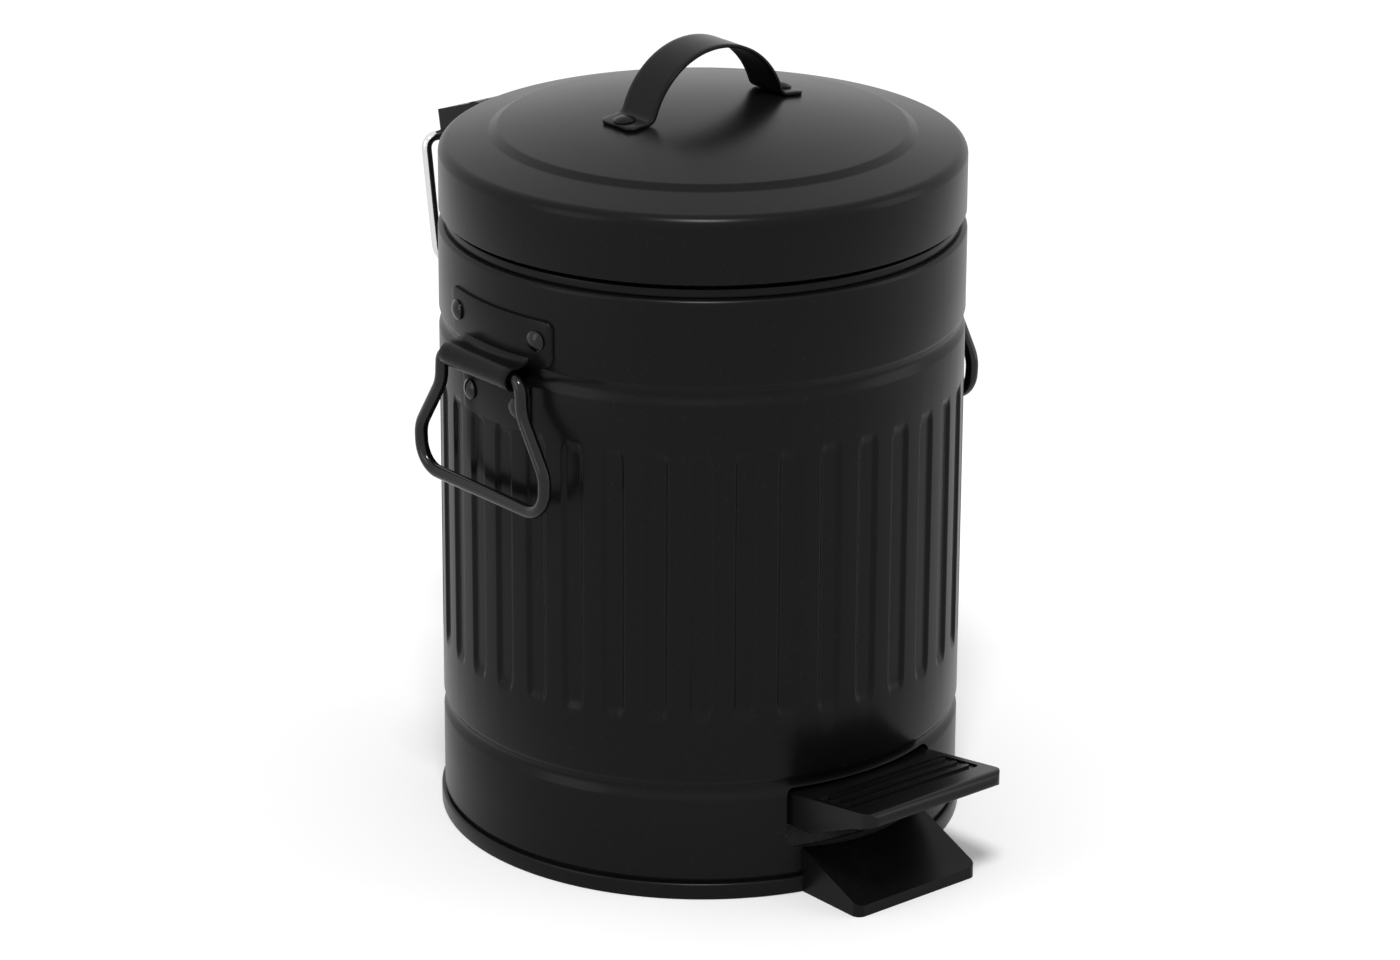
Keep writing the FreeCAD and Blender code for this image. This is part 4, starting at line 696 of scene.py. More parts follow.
def can_section(bm, s):
    """Draws the can's section: up its outer side, over the shoulder and down its inner side."""
    r, t, roll = s.radius, s.sheet, s.shoulder_roll
    inner = r - t
    deep = r - s.flute_depth - t
    cut, ease = 0.3 * MM, 2 * MM
    foot, top = s.foot_z + cut, s.shoulder_z - roll
    end = push(bm, [bm.verts.new((inner, 0, foot))], Vector((cut, 0, -cut)))
    end = push(bm, end, X * (t - 2 * cut))
    end = push(bm, end, Vector((cut, 0, cut)))
    end = climb(bm, end, foot, wall_rows(s))
    end = swing(bm, end, (r - roll, 0, top), Y, -math.pi / 2, 8)
    end = push(bm, end, X * (s.flange_radius - r + roll))
    end = push(bm, end, Z * -t)
    end = push(bm, end, X * (r - roll - s.flange_radius))
    end = swing(bm, end, (r - roll, 0, top), Y, math.pi / 2, 4)
    upper = groove_rows(s.upper_groove_z, s.groove_height, 6)[::-1]
    end = climb(bm, end, top, [s.shoulder_z - 6 * MM] + upper + [s.flute_high_z + ease])
    end = push(bm, end, Vector((deep - inner, 0, -ease)))
    end = push(bm, end, Z * (s.flute_low_z - s.flute_high_z))
    end = push(bm, end, Vector((inner - deep, 0, -ease)))
    lower = groove_rows(s.lower_groove_z, s.groove_height, 6)[::-1]
    climb(bm, end, s.flute_low_z - ease, lower + [s.foot_z + 1.0 * MM])
    close(bm)


def press(bm, s):
    """Draws the wall in at the grooves, and its outer side at the flute."""
    near = 0.01 * MM
    inner, top = s.radius - s.sheet, s.shoulder_z - s.shoulder_roll
    for v in bm.verts:
        radius = math.hypot(v.co.x, v.co.y)
        if radius < inner - near or v.co.z > top + near:
            continue
        draw = groove_press(s, v.co.z)
        if radius > s.radius - near:
            draw += flute_press(s, math.atan2(v.co.y, v.co.x) * s.radius, v.co.z)
        v.co.x *= (radius - draw) / radius
        v.co.y *= (radius - draw) / radius


def can_wall(s):
    """One flute's share of the can, pressed to shape and then repeated all the way round."""
    bm = bmesh.new()
    can_section(bm, s)
    section = drawn(bm)
    pitch = FULL / s.flute_count
    half = pitch * s.radius / 2 / MM
    stops = [-half, *[-c for c in reversed(FLUTE_COLUMNS)], 0.0, *FLUTE_COLUMNS, half]
    back = Matrix.Rotation(-pitch / 2, 3, "Z")
    bmesh.ops.rotate(bm, verts=bm.verts, cent=ORIGIN, matrix=back)
    for a, b in zip(stops, stops[1:]):
        section = swing(bm, section, ORIGIN, Z, (b - a) * MM / s.radius, 1)
    press(bm, s)
    bmesh.ops.spin(
        bm, geom=drawn(bm) + bm.faces[:], cent=ORIGIN, axis=Z, dvec=ORIGIN,
        angle=FULL - pitch, steps=s.flute_count - 1, use_duplicate=True,
    )
    turn_all(bm, s.flute_first_deg)
    weld(bm)
    return bm


def slot_cutter(s):
    """The rounded block that opens the can's front for the pedal, and the crank's gap."""
    bm = bmesh.new()
    wide = s.slot_half_width
    before, behind = -110 * MM, -75 * MM
    block(bm, (-wide, before, s.slot_low_z), (wide, behind, s.slot_high_z))
    round_edges(bm, edges_along(bm, 1), 3.5 * MM, 6)
    return crank_gap(bm, "can")


class BIN_OT_can(bpy.types.Operator):
    """Builds the fluted steel can with its grooves, rolled shoulder and pedal slot"""

    bl_idname = "bin.can"
    bl_label = "Fluted can"

    def execute(self, context):
        scene = context.scene
        s = scene.bin_can
        can = piece(
            can_wall(s), "can_wall", powder_coat(scene), "body_shell", "bin", 48,
            join=False,
        )
        carve(can, slot_cutter(s))
        shade(can.data, 48)
        return {"FINISHED"}


def crown_ball(s):
    """Radius of the sphere that the lid's crown is part of."""
    return (s.crease_radius**2 + s.crown_rise**2) / (2 * s.crown_rise)


def lid_wire(bm, s, inset):
    """Draws the lid's section from the hem to the crown, drawn in by inset; gives its start."""
    slope = math.radians(RIM_SLOPE_DEG)
    top = top_of("lid_shell")
    crease_z = top - s.crown_rise
    step_z = crease_z - s.crease_rise
    foot_z = step_z - s.step_rise
    rim_r = s.radius - s.rim_round
    rim_end = rim_r + s.rim_round * math.sin(slope)
    fall = (rim_end - s.step_radius) * math.tan(slope)
    rim = Vector((rim_r, 0, foot_z - fall - s.rim_round * math.cos(slope)))
    start = bm.verts.new((s.radius - inset, 0, s.hem_z + HEM_HEIGHT))
    end = push(bm, [start], Z * (rim.z - s.hem_z - HEM_HEIGHT))
    end = swing(bm, end, rim, Y, -(math.pi / 2 - slope), 12)
    outwards = Vector((math.sin(slope), 0, math.cos(slope)))
    bend = rim + outwards * (s.rim_round - inset)
    foot = Vector((s.step_radius, 0, foot_z - inset))
    head = Vector((s.step_radius - s.step_width, 0, step_z - inset))
    crease = Vector((s.crease_radius, 0, crease_z - inset))
    round_off = (foot - head).length * 0.9
    end = follow(bm, end, [bend, foot, head, crease], [round_off, round_off], 7)
    ball = crown_ball(s)
    swing(bm, end, (0, 0, top - ball), Y, -math.asin(s.crease_radius / ball), 18)
    return start


class BIN_OT_lid(bpy.types.Operator):
    """Builds the domed lid with its hem, rounded rim and raised step"""

    bl_idname = "bin.lid"
    bl_label = "Lid"

    def execute(self, context):
        scene = context.scene
        s = scene.bin_lid
        bm = bmesh.new()
        outer = lid_wire(bm, s, 0)
        inner = lid_wire(bm, s, scene.bin_can.sheet)
        end = [outer]
        for out, up in HEM_STEPS:
            end = push(bm, end, Vector((out * MM, 0, up * MM)))
        bm.edges.new([end[0], inner])
        lathe(bm, 288)
        lid = piece(bm, "lid_skin", powder_coat(scene), "lid_shell", "lid", 50)
        carve(lid, crank_gap(bmesh.new(), "lid"))
        shade(lid.data, 50)
        return {"FINISHED"}


class BIN_OT_strap(bpy.types.Operator):
    """Builds the strap handle on the lid and its two rivets"""

    bl_idname = "bin.strap"
    bl_label = "Strap handle"

    def execute(self, context):
        scene = context.scene
        s = scene.bin_lid
        coat = powder_coat(scene)
        ball = crown_ball(s)
        dome = Vector((0, 0, top_of("lid_shell") - ball))
        strap = self.strap(s, ball, dome)
        piece(strap, "strap_handle", coat, "lid_strap_handle", "lid", 50)
        piece(
            self.rivets(s, ball, dome), "strap_rivets", coat, "lid_handle_rivets", "lid",
            50, join=False,
        )
        return {"FINISHED"}

    def strap(self, s, ball, dome):
        """The strap, which lies on the crown, bends up at each knee and arches over."""
        middle = s.strap_gauge / 2
        hoop = s.strap_arch - middle
        arch = Vector((0, 0, top_of("lid_strap_handle") - s.strap_arch))
        lift = 0.1 * MM
        foot = ball + lift + middle
        bend = s.strap_bend
        far = (foot + bend) ** 2 - (hoop + bend) ** 2 + arch.z**2 - dome.z**2
        knee_z = far / 2 / (arch.z - dome.z)
        knee = Vector((-math.sqrt((hoop + bend) ** 2 - (knee_z - arch.z) ** 2), 0, knee_z))
        other_knee = Vector((-knee.x, 0, knee.z))
        flat = math.asin(s.strap_tip / foot) - math.asin(-knee.x / (foot + bend))
        curl = (dome - knee).angle(arch - knee)
        rise = (knee - arch).angle(Z)
        width, cut = s.strap_width, s.strap_cut
        edge = width / 2 - 0.1 * MM
        bm = bmesh.new()
        start_z = dome.z + math.sqrt((foot + middle) ** 2 - s.strap_tip**2)
        across = [bm.verts.new((-s.strap_tip, -width / 2, start_z))]
        for step in (cut, width - 2 * cut, cut):
            across = push(bm, across, Y * step)
        corners = [v for v in bm.verts if abs(v.co.y) > edge]
        end = drawn(bm)
        for centre, angle, steps in (
            (dome, flat * 0.45, 1), (dome, flat * 0.55, 2), (knee, -curl, 8),
            (arch, 2 * rise, 48),
            (other_knee, -curl, 8), (dome, flat * 0.55, 2), (dome, flat * 0.45, 1),
        ):
            end = swing(bm, end, centre, Y, angle, steps)
        last = [v for v in end if isinstance(v, bmesh.types.BMVert)]
        for v in corners + [v for v in last if abs(v.co.y) > edge]:
            v.co.x -= math.copysign(cut, v.co.x)
        bmesh.ops.recalc_face_normals(bm, faces=bm.faces)
        bmesh.ops.solidify(bm, geom=bm.faces[:], thickness=s.strap_gauge)
        weld(bm)
        round_edges(bm, sharp_edges(bm), 0.28 * MM, 2)
        turn_all(bm, s.strap_turn_deg)
        return bm

    def rivets(self, s, ball, dome):
        """The two rivets through the strap's ends and the crown."""
        head_height, back_height, back_radius = 1.7 * MM, 0.9 * MM, 3.4 * MM
        over, under = s.strap_gauge + 0.15 * MM, 2.0 * MM
        lean = math.asin(s.rivet_place / ball)
        bm = bmesh.new()
        for side in (-1, 1):
            out = Vector((side * math.sin(lean), 0, math.cos(lean)))
            base = dome + out * (ball + over)
            low = dome + out * (ball - under)
            head = (base, s.rivet_radius, head_height)
            back = (low + out * back_height, back_radius, back_height)
            rivet(bm, out, head, back, (low, base))
        turn_all(bm, s.strap_turn_deg)
        return bm


class BIN_OT_foot(bpy.types.Operator):
    """Builds the foot ring and the sloping toe plate"""

    bl_idname = "bin.foot"
    bl_label = "Foot ring and toe plate"

    def execute(self, context):
        plastic = satin_plastic(context.scene)
        top = top_of("base_ring") / MM
        inner, outer, ledge = 91, 101.3, 6.4
        collar_in, collar_out = 95.1, 99.1
        section = (
            (inner, 0), (outer, 0), (outer, ledge), (collar_out, ledge),
            (collar_out, top), (collar_in, top), (collar_in, ledge), (inner, ledge),
        )
        bm = ring(section, (0.5, 0.5, 0.8, 0, 0.5, 0.5, 0, 0.5), 4)
        piece(bm, "foot_ring", plastic, "base_ring", "bin", 50)
        soften("toe_plate", "toe_wedge", plastic, "bin", 0.7 * MM)
        return {"FINISHED"}


class BIN_OT_insert(bpy.types.Operator):
    """Builds the collar, the inner bucket and the bucket's wire handle"""

    bl_idname = "bin.insert"
    bl_label = "Collar and bucket"

    def execute(self, context):
        scene = context.scene
        low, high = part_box("collar_ring")
        foot, seat, top = low.z / MM, 236.6, high.z / MM
        skirt_in, skirt_out = 93, 94.6
        rim_in, rim_out = 91.6, 97.5
        lip_in, lip_top = 89, top - 1.9
        section = (
            (skirt_in, foot), (skirt_out, foot), (skirt_out, seat), (rim_out, seat),
            (rim_out, top), (rim_in, top), (rim_in, lip_top), (lip_in, lip_top),
            (lip_in, seat), (skirt_in, seat),
        )
        bm = ring(section, (0.3, 0.3, 0, 0.3, 0.6, 0.5, 0, 0.4, 0.3, 0), 3)
        collar = piece(
            bm, "shoulder_collar", satin_plastic(scene), "collar_ring", "bin", 50
        )
        carve(collar, crank_gap(bmesh.new(), "collar"))
        shade(collar.data, 50)
        self.bucket(scene)
        self.bucket_wire(scene)
        return {"FINISHED"}

    def bucket(self, scene):
        """The tapered bucket with its flat rim, and a lug with a hole at each side."""
        floor, skin = 52, 1.5
        foot_in, foot_out = 82, 83.5
        rim_in, wall_out, rim_out = 86.3, 87.8, 91.2
        rim_low, rim_top = 238.2, 239.8
        section = (
            (0, floor), (foot_out, floor), (wall_out, rim_low), (rim_out, rim_low),
            (rim_out, rim_top), (rim_in, rim_top), (foot_in, floor + skin), (0, floor + skin),
        )
        radii = (3, 0.6, 0.5, 0.7, 0.6, 2)
        points = [Vector((r * MM, 0, z * MM)) for r, z in section]
        bm = bmesh.new()
        outline(bm, points, [r * MM for r in radii], 5)
        lathe(bm, 192)
        plastic = bucket_plastic(scene)
        bucket = piece(bm, "bucket", plastic, "inner_bucket", "bin", 50)
        carve(bucket, crank_gap(bmesh.new(), "bucket"))
        lug_in, lug_out, lug_half, lug_rise = 85.2 * MM, 88 * MM, 4.5 * MM, 5 * MM
        for side in (-1, 1):
            lug = bmesh.new()
            left, right = sorted((side * lug_in, side * lug_out))
            low, high = (left, -lug_half, rim_low * MM), (right, lug_half, rim_top * MM + lug_rise)
            block(lug, low, high)
            over = rim_top * MM
            upper = [e for e in edges_along(lug, 0) if min(v.co.z for v in e.verts) > over]
            round_edges(lug, upper, 2.5 * MM, 6)
            carve(bucket, lug, "UNION")
        holes = bmesh.new()
        reach, hole_z = 95 * MM, 241.6 * MM
        rod_between(holes, (-reach, 0, hole_z), (reach, 0, hole_z), 1.75 * MM)
        carve(bucket, holes)
        shade(bucket.data, 45)

    def bucket_wire(self, scene):
        """The bucket's wire handle, lying round half of the rim with its ends in the lugs."""
        z = sum(p.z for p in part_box("bucket_bail")) / 2
        hoop, bend, end_run, gauge = 83 * MM, 3 * MM, 6.2 * MM, 1.5 * MM
        start = standing((-hoop - end_run, 0, z), X)
        bm = bmesh.new()
        bmesh.ops.create_circle(bm, cap_ends=False, radius=gauge, segments=16, matrix=start)
        end = push(bm, drawn(bm), X * end_run)
        end = swing(bm, end, (-hoop, -bend, z), Z, -math.pi / 2, 6)
        end = swing(bm, end, (0, -bend, z), Z, math.pi, 64)
        end = swing(bm, end, (hoop, -bend, z), Z, -math.pi / 2, 6)
        push(bm, end, X * end_run)
        cap_ends(bm)
        piece(bm, "bucket_wire", drawn_wire(scene), "bucket_bail", "bin", 50)


def wrap(bm, radius, side):
    """Bends a plate drawn flat, with x as its depth and y as its run, round the can."""
    for v in bm.verts:
        reach = radius + v.co.x
        angle = v.co.y / reach
        v.co.x = side * reach * math.cos(angle)
        v.co.y = side * reach * math.sin(angle)


def plate(bm, half_width, low, high, corners, thickness):
    """Adds a flat plate with rounded corners, with cuts across it so that it can be bent."""
    flat = bmesh.new()
    places = ((-half_width, low), (half_width, low), (half_width, high), (-half_width, high))
    low_corner, high_corner = corners
    radii = [low_corner, low_corner, high_corner, high_corner]
    loop(flat, [Vector((0, y, z)) for y, z in places], radii, 5)
    thicken(flat, X * thickness)
    front = [e for e in sharp_edges(flat) if min(v.co.x for v in e.verts) > thickness / 2]
    round_edges(flat, front, 0.35 * MM, 2)
    strip = 2 * MM
    run = -half_width + strip
    while run < half_width:
        whole = drawn(flat) + flat.faces[:]
        bmesh.ops.bisect_plane(flat, geom=whole, plane_co=(0, run, 0), plane_no=Y)
        run += strip
    stamp(bm, flat)


class BIN_OT_brackets(bpy.types.Operator):
    """Builds the two side brackets with their barrels and rivets"""

    bl_idname = "bin.brackets"
    bl_label = "Side brackets"

    def execute(self, context):
        scene = context.scene
        s = scene.bin_handle
        low, high = (corner.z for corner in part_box("left_bracket"))
        barrel = joint_at("left_bail_swing")
        upper_half, lower_half, sheet = 30.4 * MM, 19.8 * MM, s.bracket_sheet
        upper_z, lower_z = barrel.z + 4.6 * MM, barrel.z - 3.8 * MM
        wall_r = 100.1 * MM
        coat = powder_coat(scene)
        for name, side in (("left", -1), ("right", 1)):
            bm = bmesh.new()
            plate(bm, upper_half, upper_z, high, (3.5 * MM, 3.6 * MM), sheet)
            plate(bm, lower_half, low, lower_z, (1.6 * MM, 0.3 * MM), sheet)
            wrap(bm, wall_r, side)
            self.barrel(bm, s, side, lower_half, abs(barrel.x), barrel.z)
            piece(
                bm, name + "_bracket_plate", coat, name + "_bracket", "bin", 40,
                join=False,
            )
            piece(
                self.rivets(s, side), name + "_rivet_heads", enamel(scene),
                name + "_bracket_rivets", "bin", 50, join=False,
            )
        return {"FINISHED"}

    def barrel(self, bm, s, side, half_width, x, z):
        """Adds the middle: the sheet bends out of the can, rolls over the wire and returns."""
        part = bmesh.new()
        skin, tab, strips = 101.25 * MM, 4 * MM, 12
        r = s.barrel_radius
        out, over, under = x + r, z + r, z - r
        path = (
            (skin, over + tab), (skin, over), (out, over),
            (out, under), (skin, under), (skin, under - tab),
        )
        points = [Vector((a, -half_width, b)) for a, b in path]
        outline(part, points, [2.8 * MM, r, r, 0.8 * MM], 9)
        end = drawn(part)
        for _ in range(strips):
            end = push(part, end, Y * (2 * half_width / strips))
        bmesh.ops.recalc_face_normals(part, faces=part.faces)
        bmesh.ops.solidify(part, geom=part.faces[:], thickness=s.bracket_sheet - 0.1 * MM)
        weld(part)
        round_edges(part, sharp_edges(part), 0.3 * MM, 2)
        self.lean_on(part, skin)
        stamp(bm, part, Matrix.Rotation(0 if side > 0 else math.pi, 4, "Z"))

    def lean_on(self, bm, skin):
        """Bends the sheet round the can where it lies on the wall, and not further out."""
        free_run = 3 * MM
        for v in bm.verts:
            x, y = v.co.x, v.co.y
            lean = (1 - smooth((x - skin) / free_run)) * y / x
            v.co.x = x * math.cos(lean)
            v.co.y = y + x * (math.sin(lean) - lean)

    def rivets(self, s, side):
        """The four rivets of one bracket."""
        head_height, back_height, back_radius = 2.1 * MM, 1 * MM, 3.4 * MM
        head_r, back_r = 101.35 * MM, 99.05 * MM
        shank_in, shank_out = 99 * MM, 101.4 * MM
        bm = bmesh.new()
        for degrees, z in BRACKET_RIVETS:
            for hand in (-1, 1):
                turn = math.radians(degrees)
                out = side * Vector((math.cos(turn), hand * math.sin(turn), 0))
                up = Z * z * MM
                head = (out * head_r + up, s.rivet_radius, head_height)
                back = (out * back_r + up, back_radius, back_height)
                rivet(bm, out, head, back, (out * shank_in + up, out * shank_out + up))
        return bm


class BIN_OT_bails(bpy.types.Operator):
    """Builds the two side bails of bent, enamelled wire"""

    bl_idname = "bin.bails"
    bl_label = "Side bails"

    def execute(self, context):
        scene = context.scene
        for side in ("left", "right"):
            pivot = joint_at(side + "_bail_swing")
            bm = handle_wire(pivot, Y, BAIL_CORNERS, BAIL_BENDS, scene.bin_handle.bail_gauge)
            piece(
                bm, side + "_bail_wire", enamel(scene), side + "_bail", side + "_grip",
                50, join=False,
            )
        return {"FINISHED"}


class BIN_OT_carry(bpy.types.Operator):
    """Builds the plated carry handle behind the bin"""

    bl_idname = "bin.carry"
    bl_label = "Rear carry handle"

    def execute(self, context):
        scene = context.scene
        pivot = joint_at("rear_handle_swing")
        bm = handle_wire(pivot, X, CARRY_CORNERS, CARRY_BENDS, scene.bin_handle.carry_gauge)
        piece(
            bm, "carry_wire", chrome_plate(scene), "rear_carry_handle", "carry_handle",
            50, join=False,
        )
        return {"FINISHED"}


class BIN_OT_hinge(bpy.types.Operator):
    """Builds the hinge housing on the can's back and the hinge leaf on the lid"""

    bl_idname = "bin.hinge"
    bl_label = "Hinge"

    def execute(self, context):
        plastic = satin_plastic(context.scene)
        soften("hinge_housing", "hinge_block", plastic, "bin", 0.5 * MM)
        soften("hinge_leaf", "hinge_knuckle", plastic, "lid", 0.4 * MM)
        return {"FINISHED"}


def tread_z(s, y):
    """Height of the tread's sloping top at a distance y in front of the can's axis."""
    return s.back_z + (y - s.back_y) * math.tan(math.radians(s.slope_deg))


def tread_place(s, y):
    """A placement on the tread's sloping top, at a distance y in front of the can's axis."""
    turn = Matrix.Rotation(-math.radians(s.slope_deg), 4, "X")
    return Matrix.Translation((0, -y, tread_z(s, y))) @ turn


def side_block(half_width, points, radii, steps):
    """A solid that has the same side view all the way across; the points are (y, z)."""
    bm = bmesh.new()
    loop(bm, [Vector((-half_width, y, z)) for y, z in points], radii, steps)
    thicken(bm, X * 2 * half_width)
    return bm


class BIN_OT_pedal(bpy.types.Operator):
    """Builds the foot pedal's tread with its rounded lip, sunk field and grip ribs"""

    bl_idname = "bin.pedal"
    bl_label = "Pedal"

    def execute(self, context):
        scene = context.scene
        s = scene.bin_pedal
        plastic = tread_plastic(scene)
        low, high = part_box("pedal_pad")
        front, base, back = low.y, low.z, -s.back_y
        lip_z, heel_y = 41 * MM, -104 * MM
        belly = (-129 * MM, 38.4 * MM)
        side = [
            (back, base), (back, tread_z(s, s.back_y)), (front, tread_z(s, -front)),
            (front, lip_z), belly, (heel_y, base),
        ]
        radii = [0.8 * MM, 0.8 * MM, 3 * MM, 1.8 * MM, 6 * MM, 5 * MM]
        bm = side_block(s.half_width + MM, side, radii, 6)
        tread = piece(bm, "pedal_tread", plastic, "pedal_pad", "pedal", 35)
        carve(tread, self.plan(s, front, base - MM, high.z + MM), "INTERSECT")
        carve(tread, self.room(s, front, base - MM))
        carve(tread, self.lever_groove(s))
        self.field(tread, s)
        soft_edges(tread, 0.7 * MM, 3, 40)
        shade(tread.data, 35)
        return {"FINISHED"}

    def plan(self, s, front, low_z, high_z):
        """The tread's outline from above, with its two front corners rounded."""
        bm = bmesh.new()
        past = 0.02 * MM
        block(bm, (-s.half_width, front - past, low_z), (s.half_width, -s.back_y + MM, high_z))
        corners = [e for e in edges_along(bm, 2) if e.verts[0].co.y < front + MM]
        round_edges(bm, corners, s.corner, 8)
        return bm

    def room(self, s, front, low_z):
        """The hollow under the tread."""
        nose = 6.5 * MM
        back, end = -s.back_y - s.skin, front + nose
        side = [
            (back, low_z), (back, tread_z(s, -back) - s.skin),
            (end, tread_z(s, -end) - s.skin), (end, low_z),
        ]
        return side_block(s.half_width - s.wall, side, [0, 1.5 * MM, 1.5 * MM, 0], 3)

    def lever_groove(self, s):
        """The room for the lever, which tilts about the pedal's pivot."""
        bm = bmesh.new()
        lever_length, lever_height = 70.1 * MM, 5.7 * MM
        block(bm, (-s.lever_half_width, -lever_length, 0), (s.lever_half_width, 0, lever_height))
        tilt = Matrix.Rotation(math.radians(-s.lever_tilt_deg), 4, "X")
        place_all(bm, Matrix.Translation(joint_at("pedal_press")) @ tilt)
        return bm

    def field(self, tread, s):
        """Sinks the field that holds the ribs, and raises the ribs in it."""
        last = s.rib_first_y + s.rib_pitch * (s.ribs - 1)
        middle = (s.rib_first_y + last) / 2
        past_end, past_side = 2.6 * MM, 4.2 * MM
        wide = s.rib_half_length + past_end
        reach = (last - s.rib_first_y) / 2 + past_side
        pocket = bmesh.new()
        block(pocket, (-wide, -reach, -s.field_drop), (wide, reach, 3 * MM))
        round_edges(pocket, edges_along(pocket, 2), past_end, 5)
        place_all(pocket, tread_place(s, middle))
        carve(tread, pocket)
        half, gauge, root = s.rib_half_length, s.rib_gauge, s.field_drop + 0.6 * MM
        for i in range(s.ribs):
            rib = bmesh.new()
            block(rib, (-half, -gauge, -root), (half, gauge, s.rib_rise))
            round_edges(rib, edges_along(rib, 2, 0.5 * MM), gauge * 0.98, 5)
            place_all(rib, tread_place(s, s.rib_first_y + s.rib_pitch * i))
            carve(tread, rib, "UNION")


class BIN_OT_hardware(bpy.types.Operator):
    """Finishes the linkage, the screws and the bottom plate"""

    bl_idname = "bin.hardware"
    bl_label = "Linkage and hardware"

    def execute(self, context):
        scene = context.scene
        by_slot = {
            "zinc": zinc_plate(scene),
            "black_coat": powder_coat(scene),
            "black_gloss": enamel(scene),
            "black_plastic": satin_plastic(scene),
            "pedal_plastic": tread_plastic(scene),
            "bucket_plastic": bucket_plastic(scene),
            "steel_wire": drawn_wire(scene),
            "chrome_wire": chrome_plate(scene),
        }
        slots = {p["node"]: p["material_slot"] for p in frame["record"]["subparts"]}
        for name, obj in frame["nodes"].items():
            for held in obj.material_slots:
                held.material = by_slot[slots[name]]
        plates = {
            "pedal_lever": "pedal", "pedal_bracket": "bin", "lift_rod": "rod", "lid_crank": "lid",
        }
        for node, body in plates.items():
            soften(node, node + "_plate", by_slot["zinc"], body, 0.25 * MM)
        plastic = by_slot["black_plastic"]
        soften("rod_guides", "rod_clasps", plastic, "bin", 0.4 * MM)
        return {"FINISHED"}


# ---- Stage -------------------------------------------------------------------------------------
# The camera that was fitted to the photograph: its place in metres, its view and its roll.
VIEW_PLACE = (-1.18606, -1.41587, 0.81908)
VIEW_AHEAD = (0.60149, 0.71846, -0.34933)
VIEW_ROLL_DEG = 0.279
# What the lamps are aimed at, about the middle of the can.
AIM = (0, 0, 0.15)


def white_surroundings(world, ambient):
    """Plain grey light for the object; white where the camera or a glossy surface sees it."""
    world.use_nodes = True
    nodes, links = world.node_tree.nodes, world.node_tree.links
    nodes.clear()
    out = nodes.new("ShaderNodeOutputWorld")
    light = nodes.new("ShaderNodeBackground")
    light.inputs["Strength"].default_value = ambient
    light.inputs["Color"].default_value = (1, 1, 1, 1)
    seen = nodes.new("ShaderNodeBackground")
    seen.inputs["Color"].default_value = (1, 1, 1, 1)
    seen.inputs["Strength"].default_value = 1.0
    ray = nodes.new("ShaderNodeLightPath")
    either = nodes.new("ShaderNodeMath")
    either.operation = "MAXIMUM"
    any_ray = nodes.new("ShaderNodeMath")
    any_ray.operation = "MAXIMUM"
    pick = nodes.new("ShaderNodeMixShader")
    links.new(ray.outputs["Is Camera Ray"], either.inputs[0])
    links.new(ray.outputs["Is Glossy Ray"], either.inputs[1])
    links.new(either.outputs[0], any_ray.inputs[0])
    links.new(ray.outputs["Is Transmission Ray"], any_ray.inputs[1])
    links.new(any_ray.outputs[0], pick.inputs["Fac"])
    links.new(light.outputs[0], pick.inputs[1])
    links.new(seen.outputs[0], pick.inputs[2])
    links.new(pick.outputs[0], out.inputs["Surface"])


def floor_finish():
    """Pale floor that keeps the shadow; the camera sees it lighter, to meet the background."""
    mat = bpy.data.materials.new("Pale floor")
    mat.use_nodes = True
    nodes, links = mat.node_tree.nodes, mat.node_tree.links
    nodes.clear()
    out = nodes.new("ShaderNodeOutputMaterial")
    matt = nodes.new("ShaderNodeBsdfDiffuse")
    matt.inputs["Color"].default_value = (0.80, 0.80, 0.80, 1)
    lighter = nodes.new("ShaderNodeBsdfDiffuse")
    lighter.inputs["Color"].default_value = (1.0, 1.0, 1.0, 1)
    ray = nodes.new("ShaderNodeLightPath")
    pick = nodes.new("ShaderNodeMixShader")
    links.new(ray.outputs["Is Camera Ray"], pick.inputs["Fac"])
    links.new(matt.outputs[0], pick.inputs[1])
    links.new(lighter.outputs[0], pick.inputs[2])
    links.new(pick.outputs[0], out.inputs["Surface"])
    return mat


def aimed(lamp, place, aim):
    """Puts a lamp at a place, turned towards a point."""
    obj = bpy.data.objects.new(lamp.name, lamp)
    place = Vector(place)
    turn = (Vector(aim) - place).to_track_quat("-Z", "Y").to_matrix().to_4x4()
    obj.matrix_world = Matrix.Translation(place) @ turn
    bpy.context.scene.collection.objects.link(obj)
    return obj


def soft_light(name, place, aim, size, power):
    lamp = bpy.data.lights.new(name, "AREA")
    lamp.shape = "RECTANGLE"
    lamp.size, lamp.size_y = size
    lamp.energy = power
    return aimed(lamp, place, aim)


def high_light(name, place, aim, spread_deg, power):
    """A broad light from far away, which lights the floor evenly."""
    lamp = bpy.data.lights.new(name, "SUN")
    lamp.angle = math.radians(spread_deg)
    lamp.energy = power
    return aimed(lamp, place, aim)


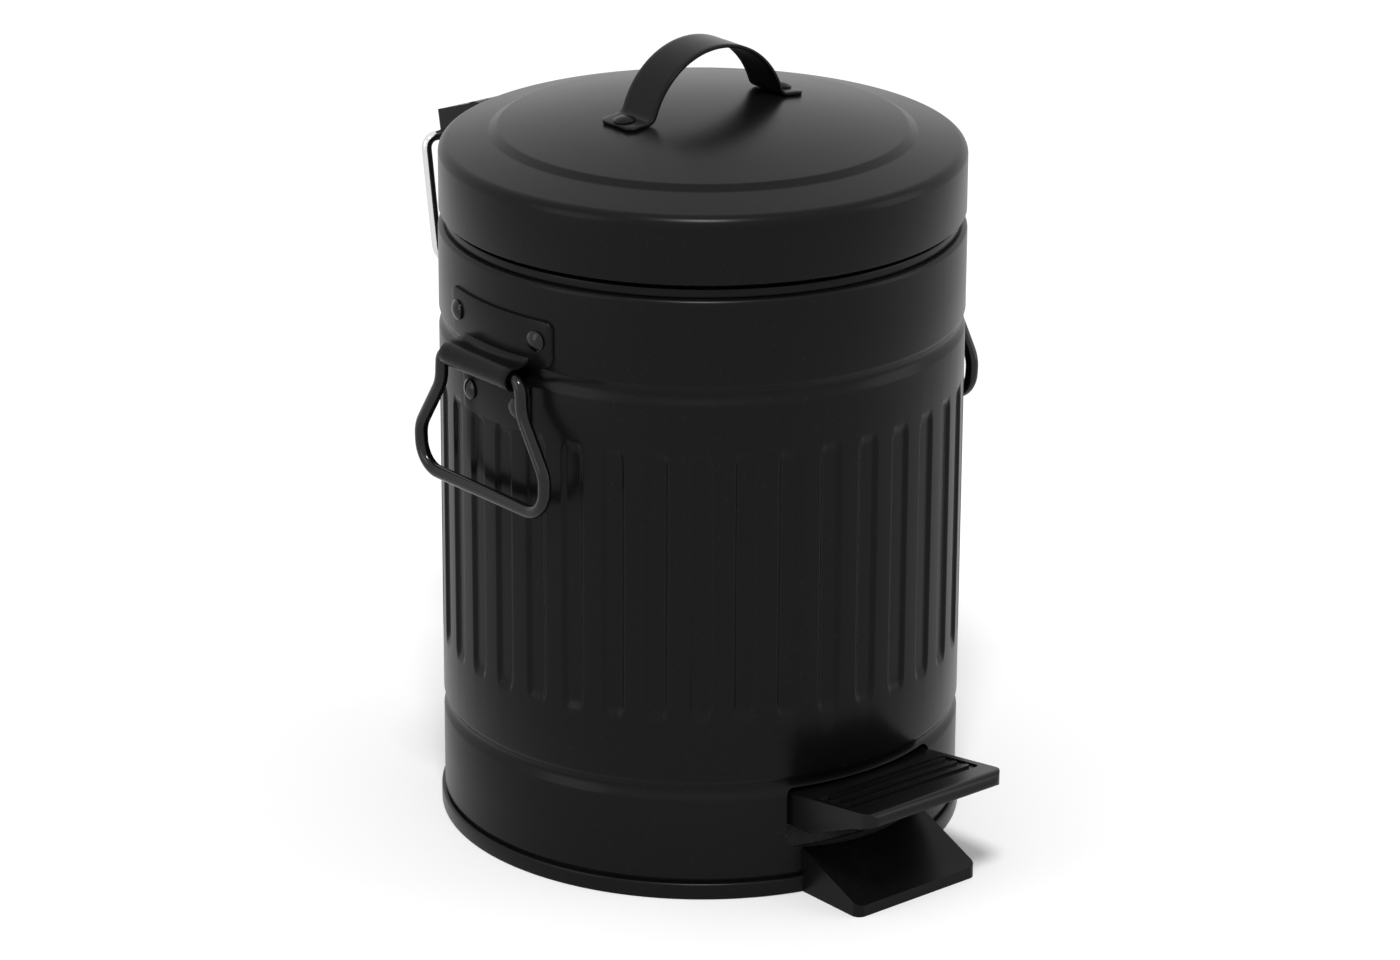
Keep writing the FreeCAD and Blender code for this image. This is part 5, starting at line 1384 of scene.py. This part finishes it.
class BIN_OT_stage(bpy.types.Operator):
    """Sets up the camera, the pale floor and the soft lights"""

    bl_idname = "bin.stage"
    bl_label = "Studio stage"

    def execute(self, context):
        scene = context.scene
        s = scene.bin_stage
        lens = bpy.data.cameras.new("View")
        lens.lens = s.lens
        lens.sensor_width = 36
        lens.clip_end = 50
        camera = bpy.data.objects.new("View", lens)
        ahead = Vector(VIEW_AHEAD).normalized()
        right = ahead.cross(Z).normalized()
        up = right.cross(ahead)
        turn = Matrix((right, up, -ahead)).transposed().to_4x4()
        roll = Matrix.Rotation(math.radians(VIEW_ROLL_DEG), 4, "Z")
        camera.matrix_world = Matrix.Translation(VIEW_PLACE) @ turn @ roll
        scene.collection.objects.link(camera)
        scene.camera = camera
        bm = bmesh.new()
        bmesh.ops.create_grid(bm, x_segments=1, y_segments=1, size=6)
        mesh = bpy.data.meshes.new("floor")
        bm.to_mesh(mesh)
        bm.free()
        floor = bpy.data.objects.new("floor", mesh)
        scene.collection.objects.link(floor)
        mesh.materials.append(floor_finish())
        world = bpy.data.worlds.new("Studio")
        scene.world = world
        white_surroundings(world, s.ambient)
        scene.view_settings.view_transform = "Standard"
        high_light("key", (-0.55, -0.65, 1.6), AIM, s.key_spread_deg, s.key)
        side_size = (0.8, 1.2)
        soft_light("left side", (-1.6, 0.2, 0.7), AIM, side_size, s.fill)
        soft_light("right side", (1.2, -1.0, 0.7), AIM, side_size, s.fill)
        return {"FINISHED"}


# ---- Panel and start ---------------------------------------------------------------------------
STEPS = (
    "can", "lid", "strap", "foot", "insert", "brackets", "bails", "carry", "hinge", "pedal",
    "hardware", "stage",
)


class BIN_PT_steps(bpy.types.Panel):
    """Lists the bin's pieces and settings"""

    bl_idname = "BIN_PT_steps"
    bl_label = "Step-on bin"
    bl_space_type = "VIEW_3D"
    bl_region_type = "UI"
    bl_category = "Step-on bin"

    def draw(self, context):
        for step in STEPS:
            self.layout.operator("bin." + step)
        for name in SETTINGS:
            box = self.layout.box()
            group = getattr(context.scene, name)
            for prop in group.bl_rna.properties:
                if prop.identifier not in ("rna_type", "name"):
                    box.prop(group, prop.identifier)


SETTINGS = {
    "bin_can": BinCanSettings,
    "bin_lid": BinLidSettings,
    "bin_handle": BinHandleSettings,
    "bin_pedal": BinPedalSettings,
    "bin_finish": BinFinishSettings,
    "bin_stage": BinStageSettings,
}
CLASSES = (
    *SETTINGS.values(), BIN_OT_can, BIN_OT_lid, BIN_OT_strap, BIN_OT_foot, BIN_OT_insert,
    BIN_OT_brackets, BIN_OT_bails, BIN_OT_carry, BIN_OT_hinge, BIN_OT_pedal, BIN_OT_hardware,
    BIN_OT_stage, BIN_PT_steps,
)


def register():
    for cls in CLASSES:
        bpy.utils.register_class(cls)
    for name, cls in SETTINGS.items():
        setattr(bpy.types.Scene, name, PointerProperty(type=cls))


def unregister():
    for name in SETTINGS:
        delattr(bpy.types.Scene, name)
    for cls in reversed(CLASSES):
        bpy.utils.unregister_class(cls)


def main():
    register()
    for step in STEPS:
        getattr(bpy.ops.bin, step)()
    bpy.context.view_layer.update()


if __name__ == "__main__":
    main()
